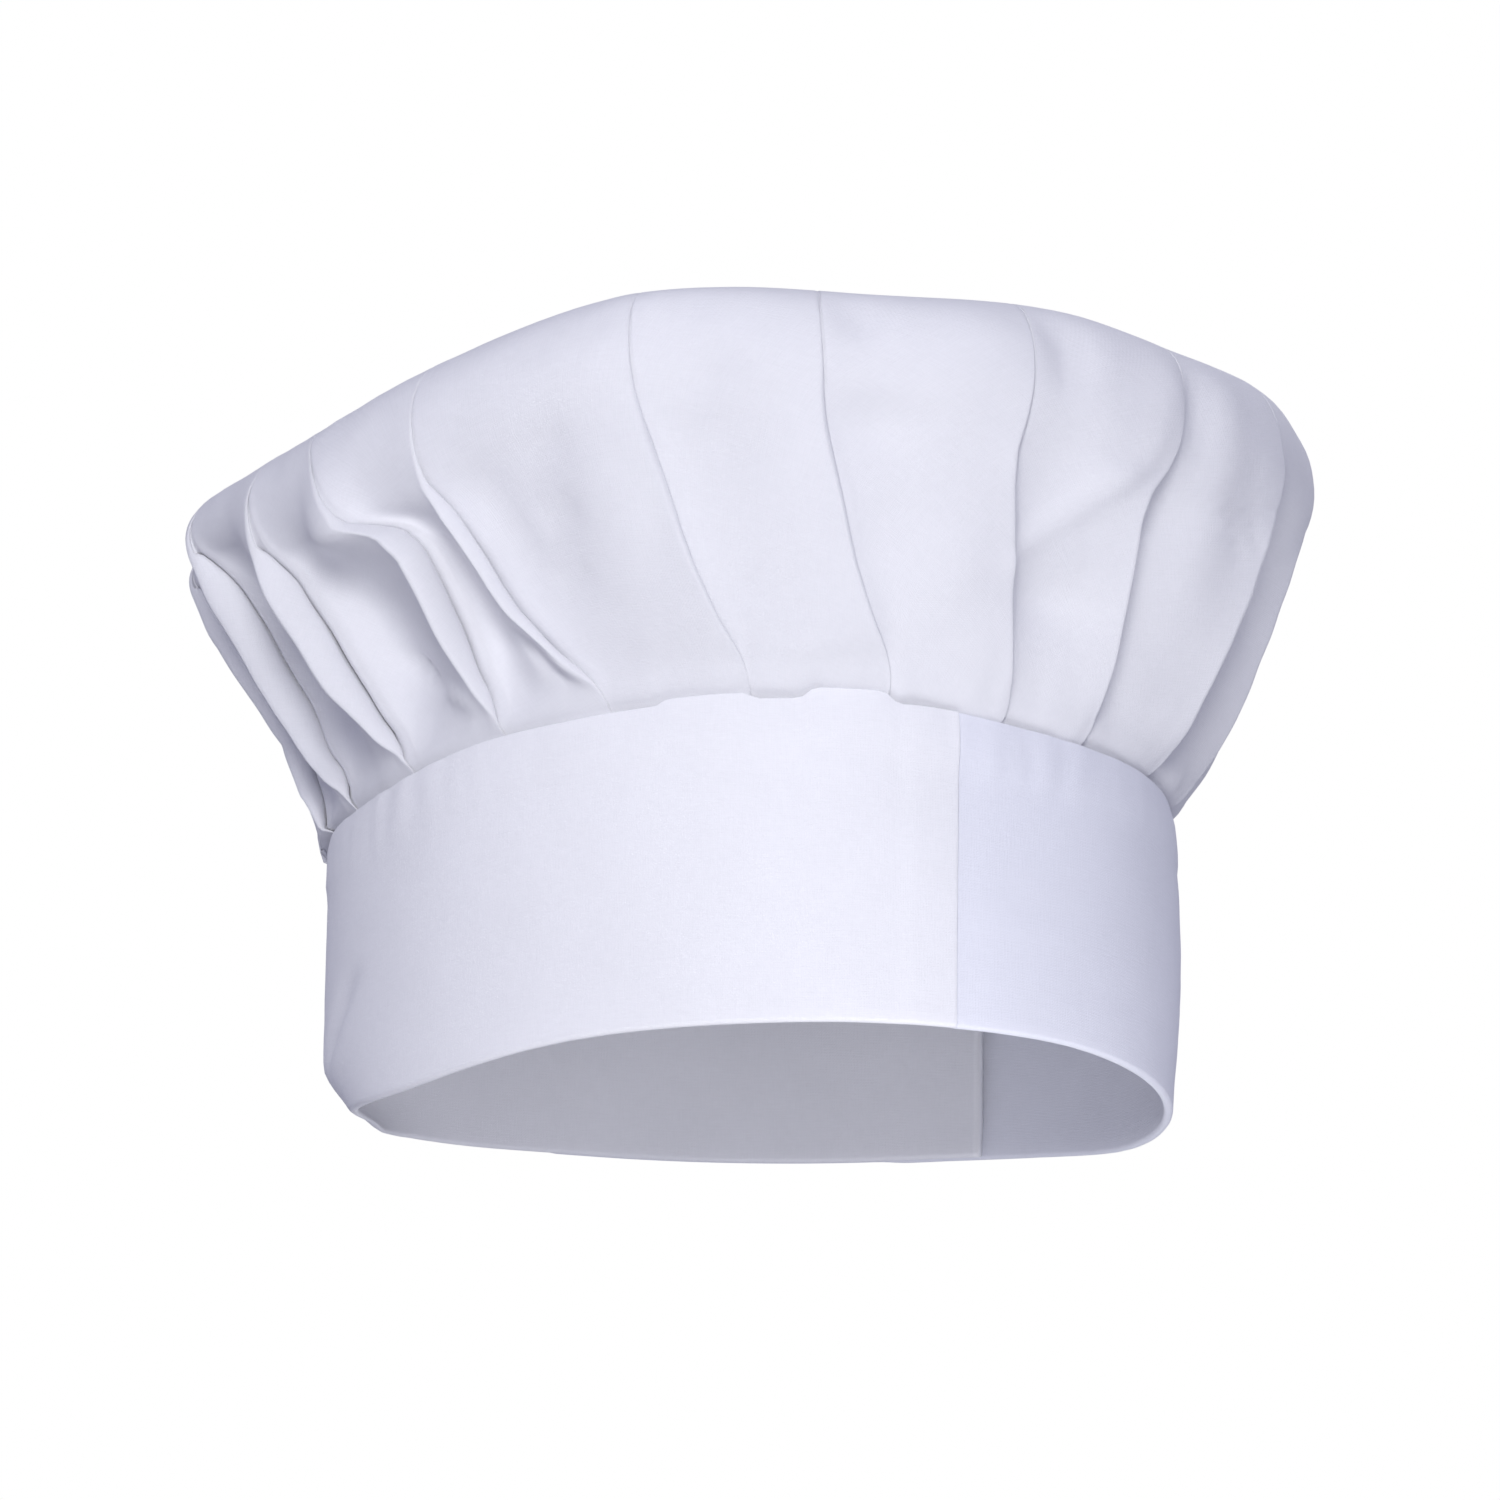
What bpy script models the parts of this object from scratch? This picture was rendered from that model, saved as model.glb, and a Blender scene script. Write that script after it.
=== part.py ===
"""Chef's toque: a pleated crown sewn into a doubled band that closes at the back with hook and loop tape.

The hat stands on its hem at z = 0, with the wearer's face towards -Y and +X to the viewer's right.
Azimuths are in degrees round the head: 0 at the front, 90 at +X, 180 at the back, -90 at -X.
Depth is measured inwards from the outer face of the band.
"""
import math

import bmesh
import bpy
from mathutils import Vector

# Head and band
HALF_WIDTH = 0.0940         # outer face of the band, from the middle to the side
HALF_DEPTH = 0.0935         # outer face of the band, from the middle to the front or back
BAND_HEIGHT = 0.0705        # hem to crown seam, at the front and the back
SEAM_TILT = 0.0045          # rise of the seam from the front to +X, and its fall to -X
SEAM_ARCH = 0.0085          # dip of the seam at both sides of the head

# Cloth layers
CLOTH = 0.0005              # thickness of one layer of cloth
GAP = 0.0003                # clearance between layers
CAVITY = CLOTH + 2 * GAP    # room between the two walls of the band, for one layer
BAND_STACK = 2 * CLOTH + CAVITY
INNER_LAYER = CLOTH + GAP   # depth of whatever lies between the two walls
SEAM_ALLOWANCE = 0.012      # crown edge held between the two walls

# Back closure
FRONT_JOINT = 27.0          # azimuth of the seam between the two band panels
UNDERLAP_END = -217.0       # free end of the main panel, inside the side panel
TAB_ROOT = 160.0            # where the side panel leaves the crown and becomes the tab
TAB_END = 212.0             # free end of the tab, outside the main panel
STEP_START = 106.0          # the side panel moves outwards from here
STEP_END = 141.0            # and is clear of the underlap from here on
TAPE = 0.0008               # thickness of each half of the closure tape
TAPE_LOW = 0.036
TAPE_HIGH = 0.061
TAB_OFFSET = BAND_STACK + 2 * TAPE + 3 * GAP
TAB_DROP = 0.0010           # the tab's top edge lies this far below the seam
TAB_LIFT = 0.0005           # the tab's hem stays this far off the table
JOINT_GAP = 0.25            # degrees left open where two band ends meet
END_INSET = 1.0             # degrees by which a stiffener stops short of its panel's free end
JOINT_INSET = 2.5           # and of the front joint
LOOP_SPAN = (172.0, 209.0)  # azimuths of the loop tape, on the main panel
HOOK_SPAN = (184.0, 209.0)  # azimuths of the hook tape, on the inside of the tab
TAPE_INSET = 1.5            # degrees from a tape's end to its stitching

# Crown
PLEATS = 22
PLEAT_PHASES = (0.0, 0.15, 0.575)   # fold edge, foot of the fold and mid-way, along one pleat
PLEAT_RECESS = (0.0, 1.0, 0.5)      # how far each of them lies in, as a part of the pleat's depth
PLEAT_DEPTH = 0.0050
PLEAT_FULLNESS = 0.7        # under 1, the pleats keep their depth over more of the wall
SLIT_QUIET = (14.0, 34.0)   # degrees from the slit's middle over which the pleats come in
CROWN_TOP = 0.1660          # height of the top's middle
WALL_STEPS = (0.15, 0.35, 0.55, 0.75, 1.0)
RIM_STEPS = (0.25, 0.5, 0.75, 1.0)
TOP_RINGS = (0.75, 0.45, 0.20)
SEAM_ROWS = 3               # rings below the wall: the skirt's edge, the seam and the wall's foot
WALL_END = SEAM_ROWS + len(WALL_STEPS)
RIM_END = WALL_END + len(RIM_STEPS)

# Crown's section by azimuth: reach of its widest ring beyond the band, height of that ring, height of the
# rim, how far the rim turns inwards, and belly of the wall
CROWN_KEYS = (
    (-180.0, 0.024, 0.132, 0.155, 0.022, 0.003),
    (-140.0, 0.029, 0.125, 0.146, 0.020, 0.003),
    (-110.0, 0.036, 0.123, 0.140, 0.018, 0.003),
    (-86.0, 0.038, 0.126, 0.141, 0.016, 0.000),
    (-60.0, 0.031, 0.120, 0.140, 0.019, 0.000),
    (-38.0, 0.025, 0.127, 0.150, 0.018, 0.000),
    (-14.0, 0.024, 0.138, 0.158, 0.017, 0.002),
    (14.0, 0.024, 0.138, 0.157, 0.017, 0.003),
    (36.0, 0.025, 0.138, 0.159, 0.017, 0.003),
    (56.0, 0.028, 0.136, 0.157, 0.016, 0.005),
    (78.0, 0.035, 0.141, 0.160, 0.015, 0.008),
    (100.0, 0.037, 0.144, 0.164, 0.015, 0.008),
    (140.0, 0.030, 0.138, 0.160, 0.020, 0.006),
)
BELLY_HEIGHT = 0.7          # the wall's belly is fullest below its middle where this is under 1

# Slit in the crown above the closure
SLIT_FROM = TAB_ROOT
SLIT_TO = 180.0
SLIT_COLUMNS = 2
SLIT_TOP_ROW = 5            # ring where the slit closes, counted from the skirt's edge
SLIT_PINCH = 8.5            # degrees that each side of the slit leans in at its top
SLIT_REACH = 45.0           # degrees of crown beside the slit that lean with it
BINDING = 0.0004            # thickness of the slit's binding

# Threads and label
THREAD = 0.00025            # radius of a stitched line
STITCH_INSET = 0.0025       # stitched line from the edge of what it holds
LABEL = 0.0003
LABEL_SPAN = (-140.0, -127.0)
LABEL_LOW = 0.037
LABEL_HIGH = 0.055

THREAD_INSET = 1.0          # degrees from the seam thread's ends to the crown's edges
STEP = 5.0                  # degrees between columns of a plain band piece
SHARP = 40.0                # degrees between faces above which an edge is shaded sharp

COTTON = (0.86, 0.86, 0.90)
LINING = (0.83, 0.83, 0.88)
STIFFENER = (0.78, 0.78, 0.76)
TAPE_WHITE = (0.80, 0.80, 0.82)
THREAD_WHITE = (0.90, 0.90, 0.92)


# Geometry of the head line

def smooth_step(value, low, high):
    part = min(1.0, max(0.0, (value - low) / (high - low)))
    return part * part * (3.0 - 2.0 * part)


def seam_height(azimuth):
    side = math.sin(math.radians(azimuth))
    return BAND_HEIGHT + SEAM_TILT * side - SEAM_ARCH * side * side


def panel_offset(azimuth):
    """How far the side panel stands outside the main panel's line, at this azimuth."""
    return TAB_OFFSET * smooth_step(azimuth, STEP_START, STEP_END)


def on_head(azimuth, outwards, z):
    """A point outside the band's outer face by a distance, or inside it where that is negative."""
    angle = math.radians(azimuth)
    return Vector(((HALF_WIDTH + outwards) * math.sin(angle), -(HALF_DEPTH + outwards) * math.cos(angle), z))


def pleat_azimuths():
    """Columns of the crown from one side of the slit, round the front, to the other side."""
    pitch = (TAB_ROOT + 180.0) / PLEATS
    columns = []
    for pleat in range(PLEATS):
        for phase, recess in zip(PLEAT_PHASES, PLEAT_RECESS):
            columns.append((-180.0 + (pleat + phase) * pitch, recess))
    columns.append((TAB_ROOT, 0.0))
    return columns


def azimuths_between(low, high):
    """The crown's own columns between two azimuths, so that neighbouring layers keep their gap."""
    inner = [azimuth for azimuth, _ in pleat_azimuths() if low + 1.0 < azimuth < high - 1.0]
    return [low] + inner + [high]


def even_azimuths(low, high):
    count = max(1, round(abs(high - low) / STEP))
    return [low + (high - low) * index / count for index in range(count + 1)]


# Making objects

def material(name, colour, roughness=0.85):
    made = bpy.data.materials.new(name)
    made.use_nodes = True
    shader = made.node_tree.nodes["Principled BSDF"]
    shader.inputs["Base Color"].default_value = (*colour, 1.0)
    shader.inputs["Roughness"].default_value = roughness
    shader.inputs["Metallic"].default_value = 0.0
    return made


def add_object(name, data, colour, roughness=0.85):
    made = bpy.data.objects.new(name, data)
    made.data.materials.append(material(name + "_finish", colour, roughness))
    bpy.context.scene.collection.objects.link(made)
    return made


def thicken(made, thickness):
    """Give a sheet its thickness, on the side away from its normals."""
    solidify = made.modifiers.new("Thickness", "SOLIDIFY")
    solidify.thickness = thickness
    solidify.offset = -1.0
    solidify.use_even_offset = True
    solidify.use_rim = True
    return made


def sheet_object(name, bm, thickness, colour, roughness=0.85):
    mesh = bpy.data.meshes.new(name)
    bm.to_mesh(mesh)
    bm.free()
    mesh.shade_smooth()
    mesh.set_sharp_from_angle(angle=math.radians(SHARP))
    return thicken(add_object(name, mesh, colour, roughness), thickness)


def swept_sheet(columns, closed_profile=False, close_end=False):
    """A sheet through columns of points. Each column runs down the outer side, then up the inner side."""
    bm = bmesh.new()
    rows = [[bm.verts.new(point) for point in column] for column in columns]
    count = len(rows[0])
    for left, right in zip(rows, rows[1:]):
        last = count if closed_profile else count - 1
        for index in range(last):
            after = (index + 1) % count
            bm.faces.new((left[index], left[after], right[after], right[index]))
    if close_end:
        end = rows[-1]
        for index in range(count // 2 - 1):
            bm.faces.new((end[index], end[index + 1], end[count - 2 - index], end[count - 1 - index]))
    bm.normal_update()
    return bm


def tube(name, points, radius, colour, closed=False):
    """A sewn line of thread as one round tube through the points."""
    curve = bpy.data.curves.new(name, "CURVE")
    curve.dimensions = "3D"
    curve.bevel_depth = radius
    curve.bevel_resolution = 0
    curve.use_fill_caps = True
    spline = curve.splines.new("POLY")
    spline.points.add(len(points) - 1)
    for slot, point in zip(spline.points, points):
        slot.co = (*point, 1.0)
    spline.use_cyclic_u = closed
    return add_object(name, curve, colour, 0.6)


# Band

def doubled_profile(azimuth, offset, low, high):
    """A strip folded double at the hem: down the outer wall, across the hem and up the lining."""
    middle = (low + high) / 2
    outer = [on_head(azimuth, offset, z) for z in (high, middle, low)]
    inner = [on_head(azimuth, offset - BAND_STACK, z) for z in (low, middle, high)]
    return outer + inner


def band_main_panel():
    """The long panel: from the front joint round -X and the back to the underlap's free end."""
    around = azimuths_between(-180.0, FRONT_JOINT - JOINT_GAP / 2)[::-1]
    under = even_azimuths(-180.0, UNDERLAP_END)[1:]
    columns = [doubled_profile(azimuth, 0.0, 0.0, seam_height(azimuth)) for azimuth in around + under]
    bm = swept_sheet(columns, close_end=True)
    bmesh.ops.reverse_faces(bm, faces=bm.faces)
    return sheet_object("band_main_panel", bm, CLOTH, COTTON)


def band_side_panel():
    """The short panel: from the front joint round +X to the root of the tab."""
    around = azimuths_between(FRONT_JOINT + JOINT_GAP / 2, TAB_ROOT - JOINT_GAP / 2)
    columns = []
    for azimuth in around:
        columns.append(doubled_profile(azimuth, panel_offset(azimuth), 0.0, seam_height(azimuth)))
    return sheet_object("band_side_panel", swept_sheet(columns), CLOTH, COTTON)


def tab_cover():
    """The free end of the side panel: a flat bag, open only at its root."""
    columns = []
    for azimuth in even_azimuths(TAB_ROOT + JOINT_GAP / 2, TAB_END):
        columns.append(doubled_profile(azimuth, TAB_OFFSET, TAB_LIFT, seam_height(azimuth) - TAB_DROP))
    bm = swept_sheet(columns, closed_profile=True, close_end=True)
    return sheet_object("tab_cover", bm, CLOTH, COTTON)


def wall_patch(name, around, outwards, low, high, thickness, colour, roughness=0.85):
    """One layer that follows the band. Its height limits and its offset may change with the azimuth."""
    columns = []
    for azimuth in around:
        heights = (high(azimuth), low(azimuth))
        columns.append([on_head(azimuth, outwards(azimuth), z) for z in heights])
    return sheet_object(name, swept_sheet(columns), thickness, colour, roughness)


def stiffeners():
    """Interfacing inside each panel, from the hem fold up to the crown's seam allowance."""
    floor = CLOTH + GAP

    def low(_):
        return floor

    def high(azimuth):
        return seam_height(azimuth) - SEAM_ALLOWANCE - GAP

    main = even_azimuths(UNDERLAP_END + END_INSET, -180.0)[:-1]
    main += azimuths_between(-180.0, FRONT_JOINT - JOINT_INSET)
    wall_patch("main_stiffener", main, lambda _: -INNER_LAYER, low, high, CLOTH, STIFFENER)
    side = azimuths_between(FRONT_JOINT + JOINT_INSET, TAB_ROOT - END_INSET)
    wall_patch("side_stiffener", side, lambda azimuth: panel_offset(azimuth) - INNER_LAYER,
               low, high, CLOTH, STIFFENER)


def tab_stiffener():
    return wall_patch(
        "tab_stiffener", even_azimuths(TAB_ROOT + END_INSET, TAB_END - END_INSET),
        lambda _: TAB_OFFSET - INNER_LAYER,
        lambda _: TAB_LIFT + CLOTH + GAP,
        lambda azimuth: seam_height(azimuth) - TAB_DROP - CLOTH - GAP,
        CLOTH, STIFFENER)


def closure_tape(name, span, outwards, roughness):
    """One half of the closure: a strip that follows the band."""
    return wall_patch(name, even_azimuths(*span), lambda _: outwards, lambda _: TAPE_LOW,
                      lambda _: TAPE_HIGH, TAPE, TAPE_WHITE, roughness)


def tape_box(name, span, outwards):
    """A rectangle of stitching just inside a tape's outline."""
    across = even_azimuths(span[0] + TAPE_INSET, span[1] - TAPE_INSET)
    points = [on_head(azimuth, outwards, TAPE_LOW + STITCH_INSET) for azimuth in across]
    points += [on_head(azimuth, outwards, TAPE_HIGH - STITCH_INSET) for azimuth in reversed(across)]
    return tube(name, points, THREAD, THREAD_WHITE, closed=True)


def tape_stitching():
    """Where the tapes are sewn on: inside the lining for the loop, on the tab's face for the hook."""
    clear = GAP + THREAD
    tape_box("loop_tape_stitching", LOOP_SPAN, -BAND_STACK - clear)
    return tape_box("hook_tape_stitching", HOOK_SPAN, TAB_OFFSET + clear)


# Crown

def crown_key(azimuth, column):
    """One column of the crown's table at any azimuth, on a smooth curve that closes round the head."""
    turned = (azimuth + 180.0) % 360.0 - 180.0
    count = len(CROWN_KEYS)
    here = max(index for index in range(count) if CROWN_KEYS[index][0] <= turned)
    near = [CROWN_KEYS[(here + step) % count] for step in (-1, 0, 1, 2)]
    widths = [(right[0] - left[0]) % 360.0 for left, right in zip(near, near[1:])]
    values = [key[column] for key in near]
    slope = (values[2] - values[0]) / (widths[0] + widths[1]) * widths[1]
    slope_after = (values[3] - values[1]) / (widths[1] + widths[2]) * widths[1]
    part = (turned - near[1][0]) / widths[1]
    square = part * part
    cube = square * part
    return ((2 * cube - 3 * square + 1) * values[1] + (cube - 2 * square + part) * slope
            + (3 * square - 2 * cube) * values[2] + (cube - square) * slope_after)


def crown_section(azimuth):
    """The crown's section at one azimuth, as (distance outside the band, height) from the skirt up.

    The wall runs straight, apart from its belly, until it meets the rim's arc as a tangent.
    """
    reach, widest, rim, rounding, belly = (crown_key(azimuth, column) for column in range(1, 6))
    step = panel_offset(azimuth)
    seam = seam_height(azimuth)
    foot = step + GAP
    foot_height = seam + INNER_LAYER + 3 * GAP
    rise = rim - widest
    inner = reach - rounding - foot
    climb = widest - foot_height
    lean = math.atan2(inner * rise, climb * rounding)
    lean += math.asin(rounding * rise / math.hypot(climb * rounding, inner * rise))
    meet = reach - rounding * (1.0 - math.cos(lean))
    meet_height = widest - rise * math.sin(lean)
    held = step - INNER_LAYER
    section = [(held, seam - SEAM_ALLOWANCE), (held, seam + GAP), (foot, foot_height)]
    for part in WALL_STEPS:
        out = foot + (meet - foot) * part + belly * math.sin(math.pi * part ** BELLY_HEIGHT)
        section.append((out, foot_height + (meet_height - foot_height) * part))
    for part in RIM_STEPS:
        turn = -lean + (math.pi / 2 + lean) * part
        section.append((reach - rounding * (1.0 - math.cos(turn)), widest + rise * math.sin(turn)))
    return section


def pleat_depth(row):
    """Depth of the pleats in one ring: none in the seam or on the top, deepest half way up the wall."""
    if row < SEAM_ROWS or row >= RIM_END:
        return 0.0
    along = (row - SEAM_ROWS + 1) / (RIM_END - SEAM_ROWS)
    return PLEAT_DEPTH * math.sin(math.pi * along) ** PLEAT_FULLNESS


def slit_lean(azimuth, row):
    """Degrees by which a column leans towards the slit's middle, so that the slit tapers to its top."""
    if row < 2:
        return 0.0
    if row <= SLIT_TOP_ROW:
        pinch = SLIT_PINCH * (row - 2) / (SLIT_TOP_ROW - 2)
    else:
        pinch = SLIT_PINCH * max(0.0, 1.0 - (row - SLIT_TOP_ROW) / (RIM_END - SLIT_TOP_ROW))
    middle = (SLIT_FROM + SLIT_TO) / 2
    half = (SLIT_TO - SLIT_FROM) / 2
    away = (azimuth - middle + 180.0) % 360.0 - 180.0
    if abs(away) <= half:
        return -pinch * away / half
    return -math.copysign(pinch, away) * max(0.0, 1.0 - (abs(away) - half) / SLIT_REACH)


def crown_column(azimuth, recess):
    """The points of one column of the crown, from the skirt's edge to the last ring of the top."""
    from_slit = abs((azimuth - (SLIT_FROM + SLIT_TO) / 2 + 180.0) % 360.0 - 180.0)
    quiet = smooth_step(from_slit, *SLIT_QUIET)
    points = []
    for row, (out, z) in enumerate(crown_section(azimuth)):
        turned = azimuth + slit_lean(azimuth, row)
        points.append(on_head(turned, out - pleat_depth(row) * recess * quiet, z))
    rim = points[-1]
    for ring in TOP_RINGS:
        rise = smooth_step(1.0 - ring, 0.0, 1.0)
        points.append(Vector((rim.x * ring, rim.y * ring, rim.z + (CROWN_TOP - rim.z) * rise)))
    return points


def crown_surface():
    """The crown as one sheet, with its grid of vertices; the slit's lower cells are left out."""
    columns = pleat_azimuths()
    width = (SLIT_TO - SLIT_FROM) / SLIT_COLUMNS
    columns += [(SLIT_FROM + width * index, 0.0) for index in range(1, SLIT_COLUMNS)]
    slit_start = len(columns) - SLIT_COLUMNS
    bm = bmesh.new()
    grid = []
    for index, (azimuth, recess) in enumerate(columns):
        in_slit = index > slit_start
        points = crown_column(azimuth, recess)
        verts = []
        for row, point in enumerate(points):
            missing = in_slit and row < SLIT_TOP_ROW
            verts.append(None if missing else bm.verts.new(point))
        grid.append(verts)
    for index in range(len(grid)):
        left = grid[index]
        right = grid[(index + 1) % len(grid)]
        first = SLIT_TOP_ROW if index >= slit_start else 0
        for row in range(first, RIM_END + len(TOP_RINGS) - 1):
            bm.faces.new((left[row], right[row], right[row + 1], left[row + 1]))
    centre = bm.verts.new((0.0, 0.0, CROWN_TOP))
    for index in range(len(grid)):
        bm.faces.new((grid[index][-1], grid[(index + 1) % len(grid)][-1], centre))
    bm.normal_update()
    return bm, grid, slit_start


def crown():
    bm, _, _ = crown_surface()
    return sheet_object("crown", bm, CLOTH, COTTON)


def slit_binding():
    """A narrow facing inside the crown, round the edge of the slit."""
    bm, grid, slit_start = crown_surface()
    total = len(grid)
    beside = [slit_start - 1, 0, 1]
    over = list(range(slit_start, total))
    wanted = set()
    for index in beside + over:
        first = SLIT_TOP_ROW if index in over else SEAM_ROWS
        for row in range(first, SLIT_TOP_ROW + 1):
            after = (index + 1) % total
            wanted.add(frozenset((grid[index][row], grid[after][row],
                                  grid[after][row + 1], grid[index][row + 1])))
    offsets = {vert: vert.co - vert.normal * (CLOTH + GAP) for vert in bm.verts}
    spare = [face for face in bm.faces if frozenset(face.verts) not in wanted]
    bmesh.ops.delete(bm, geom=spare, context="FACES")
    for vert in bm.verts:
        vert.co = offsets[vert]
    bm.normal_update()
    return sheet_object("slit_binding", bm, BINDING, LINING)


# Sewing and label

def crown_seam_thread():
    """The seam that joins the crown to the lining, just above the lining's edge inside the hat."""
    outwards = -(INNER_LAYER + CLOTH + GAP + THREAD)
    points = []
    for azimuth in azimuths_between(-180.0 + THREAD_INSET, TAB_ROOT - THREAD_INSET):
        points.append(on_head(azimuth, panel_offset(azimuth) + outwards, seam_height(azimuth) + GAP + THREAD))
    return tube("crown_seam_thread", points, THREAD, THREAD_WHITE)


def front_joint_thread():
    """The upright seam between the two band panels, hidden between their walls."""
    depth = CLOTH + CAVITY / 2
    top = seam_height(FRONT_JOINT) - SEAM_ALLOWANCE - 2 * GAP
    bottom = CLOTH + 2 * GAP
    points = [on_head(FRONT_JOINT, -depth, bottom + (top - bottom) * part) for part in (0.0, 0.5, 1.0)]
    return tube("front_joint_thread", points, THREAD, THREAD_WHITE)


def size_label():
    """A small blank label on the lining, high up at the back."""
    outwards = -(BAND_STACK + GAP)
    around = azimuths_between(*LABEL_SPAN)
    return wall_patch("size_label", around, lambda _: outwards, lambda _: LABEL_LOW, lambda _: LABEL_HIGH,
                      LABEL, TAPE_WHITE, 0.6)


def label_stitching():
    """One row of stitching along the label's top edge."""
    outwards = -(BAND_STACK + 2 * GAP + LABEL + THREAD)
    z = LABEL_HIGH - STITCH_INSET / 2
    points = [on_head(azimuth, outwards, z) for azimuth in azimuths_between(*LABEL_SPAN)]
    return tube("label_stitching", points, THREAD, THREAD_WHITE)


def hinge_the_tab(pieces):
    """The tab swings about an upright line on its outer face, where it leaves the side panel."""
    hinge = bpy.data.objects.new("tab_hinge_line", None)
    hinge.location = on_head(TAB_ROOT, TAB_OFFSET, 0.0)
    bpy.context.scene.collection.objects.link(hinge)
    bpy.context.view_layer.update()
    for piece in pieces:
        piece.parent = hinge
        piece.matrix_parent_inverse = hinge.matrix_world.inverted()


def main():
    for old in list(bpy.data.objects):
        bpy.data.objects.remove(old)
    crown()
    slit_binding()
    band_main_panel()
    band_side_panel()
    stiffeners()
    crown_seam_thread()
    front_joint_thread()
    size_label()
    label_stitching()
    closure_tape("loop_tape", LOOP_SPAN, GAP + TAPE, 0.95)
    hook_tape = closure_tape("hook_tape", HOOK_SPAN, TAB_OFFSET - BAND_STACK - GAP, 0.7)
    hook_stitching = tape_stitching()
    hinge_the_tab([tab_cover(), tab_stiffener(), hook_tape, hook_stitching])


main()
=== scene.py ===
"""Looks of the chef's toque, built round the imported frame: pleated crown, doubled band, closing tab.

Azimuths are in degrees round the head: 0 at the front (-Y), 90 at +X, 180 at the back. Outward distances are
measured from the outer face of the band. MM turns millimetres into metres.
"""
import math

import bpy
import numpy as np
from mathutils import Matrix, Vector, noise
from mathutils.bvhtree import BVHTree


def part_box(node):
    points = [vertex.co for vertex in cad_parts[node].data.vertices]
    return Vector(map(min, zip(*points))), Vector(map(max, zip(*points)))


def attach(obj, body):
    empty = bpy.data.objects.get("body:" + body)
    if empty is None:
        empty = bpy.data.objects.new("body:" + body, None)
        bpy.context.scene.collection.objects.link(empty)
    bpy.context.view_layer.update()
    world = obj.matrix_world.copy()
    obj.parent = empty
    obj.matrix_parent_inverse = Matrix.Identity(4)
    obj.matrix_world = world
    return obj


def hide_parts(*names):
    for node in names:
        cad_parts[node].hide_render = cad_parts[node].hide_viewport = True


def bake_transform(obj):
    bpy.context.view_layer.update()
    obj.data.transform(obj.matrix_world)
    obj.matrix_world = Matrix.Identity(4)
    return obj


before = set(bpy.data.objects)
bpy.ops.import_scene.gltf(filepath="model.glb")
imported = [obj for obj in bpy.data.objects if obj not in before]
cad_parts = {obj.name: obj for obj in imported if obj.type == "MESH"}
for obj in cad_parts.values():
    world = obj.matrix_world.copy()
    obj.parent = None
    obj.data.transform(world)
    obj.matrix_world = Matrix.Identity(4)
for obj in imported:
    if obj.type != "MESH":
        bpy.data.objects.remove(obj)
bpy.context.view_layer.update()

MM = 0.001


def node_heights(node):
    low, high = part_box(node)
    return low[2], high[2]


# Head line and band
BAND_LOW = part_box("band_main_panel")[0]
HALF_WIDTH, HALF_DEPTH = -BAND_LOW[0], -BAND_LOW[1]
BAND_HEIGHT = 70.5 * MM
SEAM_TILT = 4.5 * MM
SEAM_ARCH = 8.5 * MM
BAND_STACK = 2.1 * MM
SEAM_ALLOWANCE = 12.0 * MM
CLOTH = 0.28 * MM           # thickness of one layer of poplin
LAYER = 0.32 * MM           # from one layer to the next, pressed
MIDDLE = 1.05 * MM          # depth of the middle of the band's stack

# Joint in front, underlap and tab behind, and what is sewn to them
FRONT_JOINT = 27.0
JOINT_GAP = 0.005
UNDERLAP_END = -217.0
TAB_ROOT = 160.0
TAB_END = 212.0
TAB_OFFSET = 4.6 * MM
TAB_DROP = 1.0 * MM
TAB_LIFT = 0.5 * MM
TAB_CORNER = 5.0 * MM
STEP_START = 106.0
STEP_END = 141.0
TAPE_LOW, TAPE_HIGH = node_heights("loop_tape")
LOOP_SPAN = (172.0, 209.0)
HOOK_SPAN = (184.0, 209.0)
LABEL_SPAN = (-140.0, -127.0)
LABEL_LOW, LABEL_HIGH = node_heights("size_label")
CROWN_TOP = node_heights("crown")[1]

# Camera and stage
CAMERA_PLACE = Vector((0.0, -0.9703, -0.1519))
CAMERA_AIM = Vector((-0.0009, 0.002, 0.0824))
CAMERA_ROLL = 0.85
FOCAL_LENGTH = 104.5
SENSOR = 36.0
AMBIENT = (0.33, 0.335, 0.445)
FLOOR_LEVEL = -0.175
FLOOR_HALF = 3.0

# Crown's section by azimuth, in mm: reach beyond the band, height of the widest ring, height of the rim,
# how far the rim turns inwards, belly of the wall
CROWN_KEYS = (
    (-180, 24, 132, 155, 22, 3),
    (-140, 29, 125, 145, 20, 3),
    (-110, 37, 121, 136, 18, -1),
    (-86, 38.6, 124.5, 136, 17, -3.5),
    (-60, 31, 119, 138, 19, 0),
    (-38, 25, 126, 148, 18, 0),
    (-14, 24, 138, 156.5, 17, 2),
    (14, 24, 138, 157, 17, 3),
    (36, 25, 138, 160, 17, 3),
    (56, 28, 137, 159, 16, 4),
    (78, 33, 142, 162, 14, 6),
    (100, 34.5, 146, 165.2, 14, 6),
    (140, 30, 138, 160, 20, 6),
)
CROWN_REACH = 24.0 * MM     # usual reach, to turn lengths on the wall into degrees
WALL_LENGTH = 105.0 * MM    # cloth from the seam to the rim
DROOP = 5.0 * MM            # fullness of the wall at the far left
OVERHANG = 5.5 * MM         # how far that fullness hangs over the band

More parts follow.
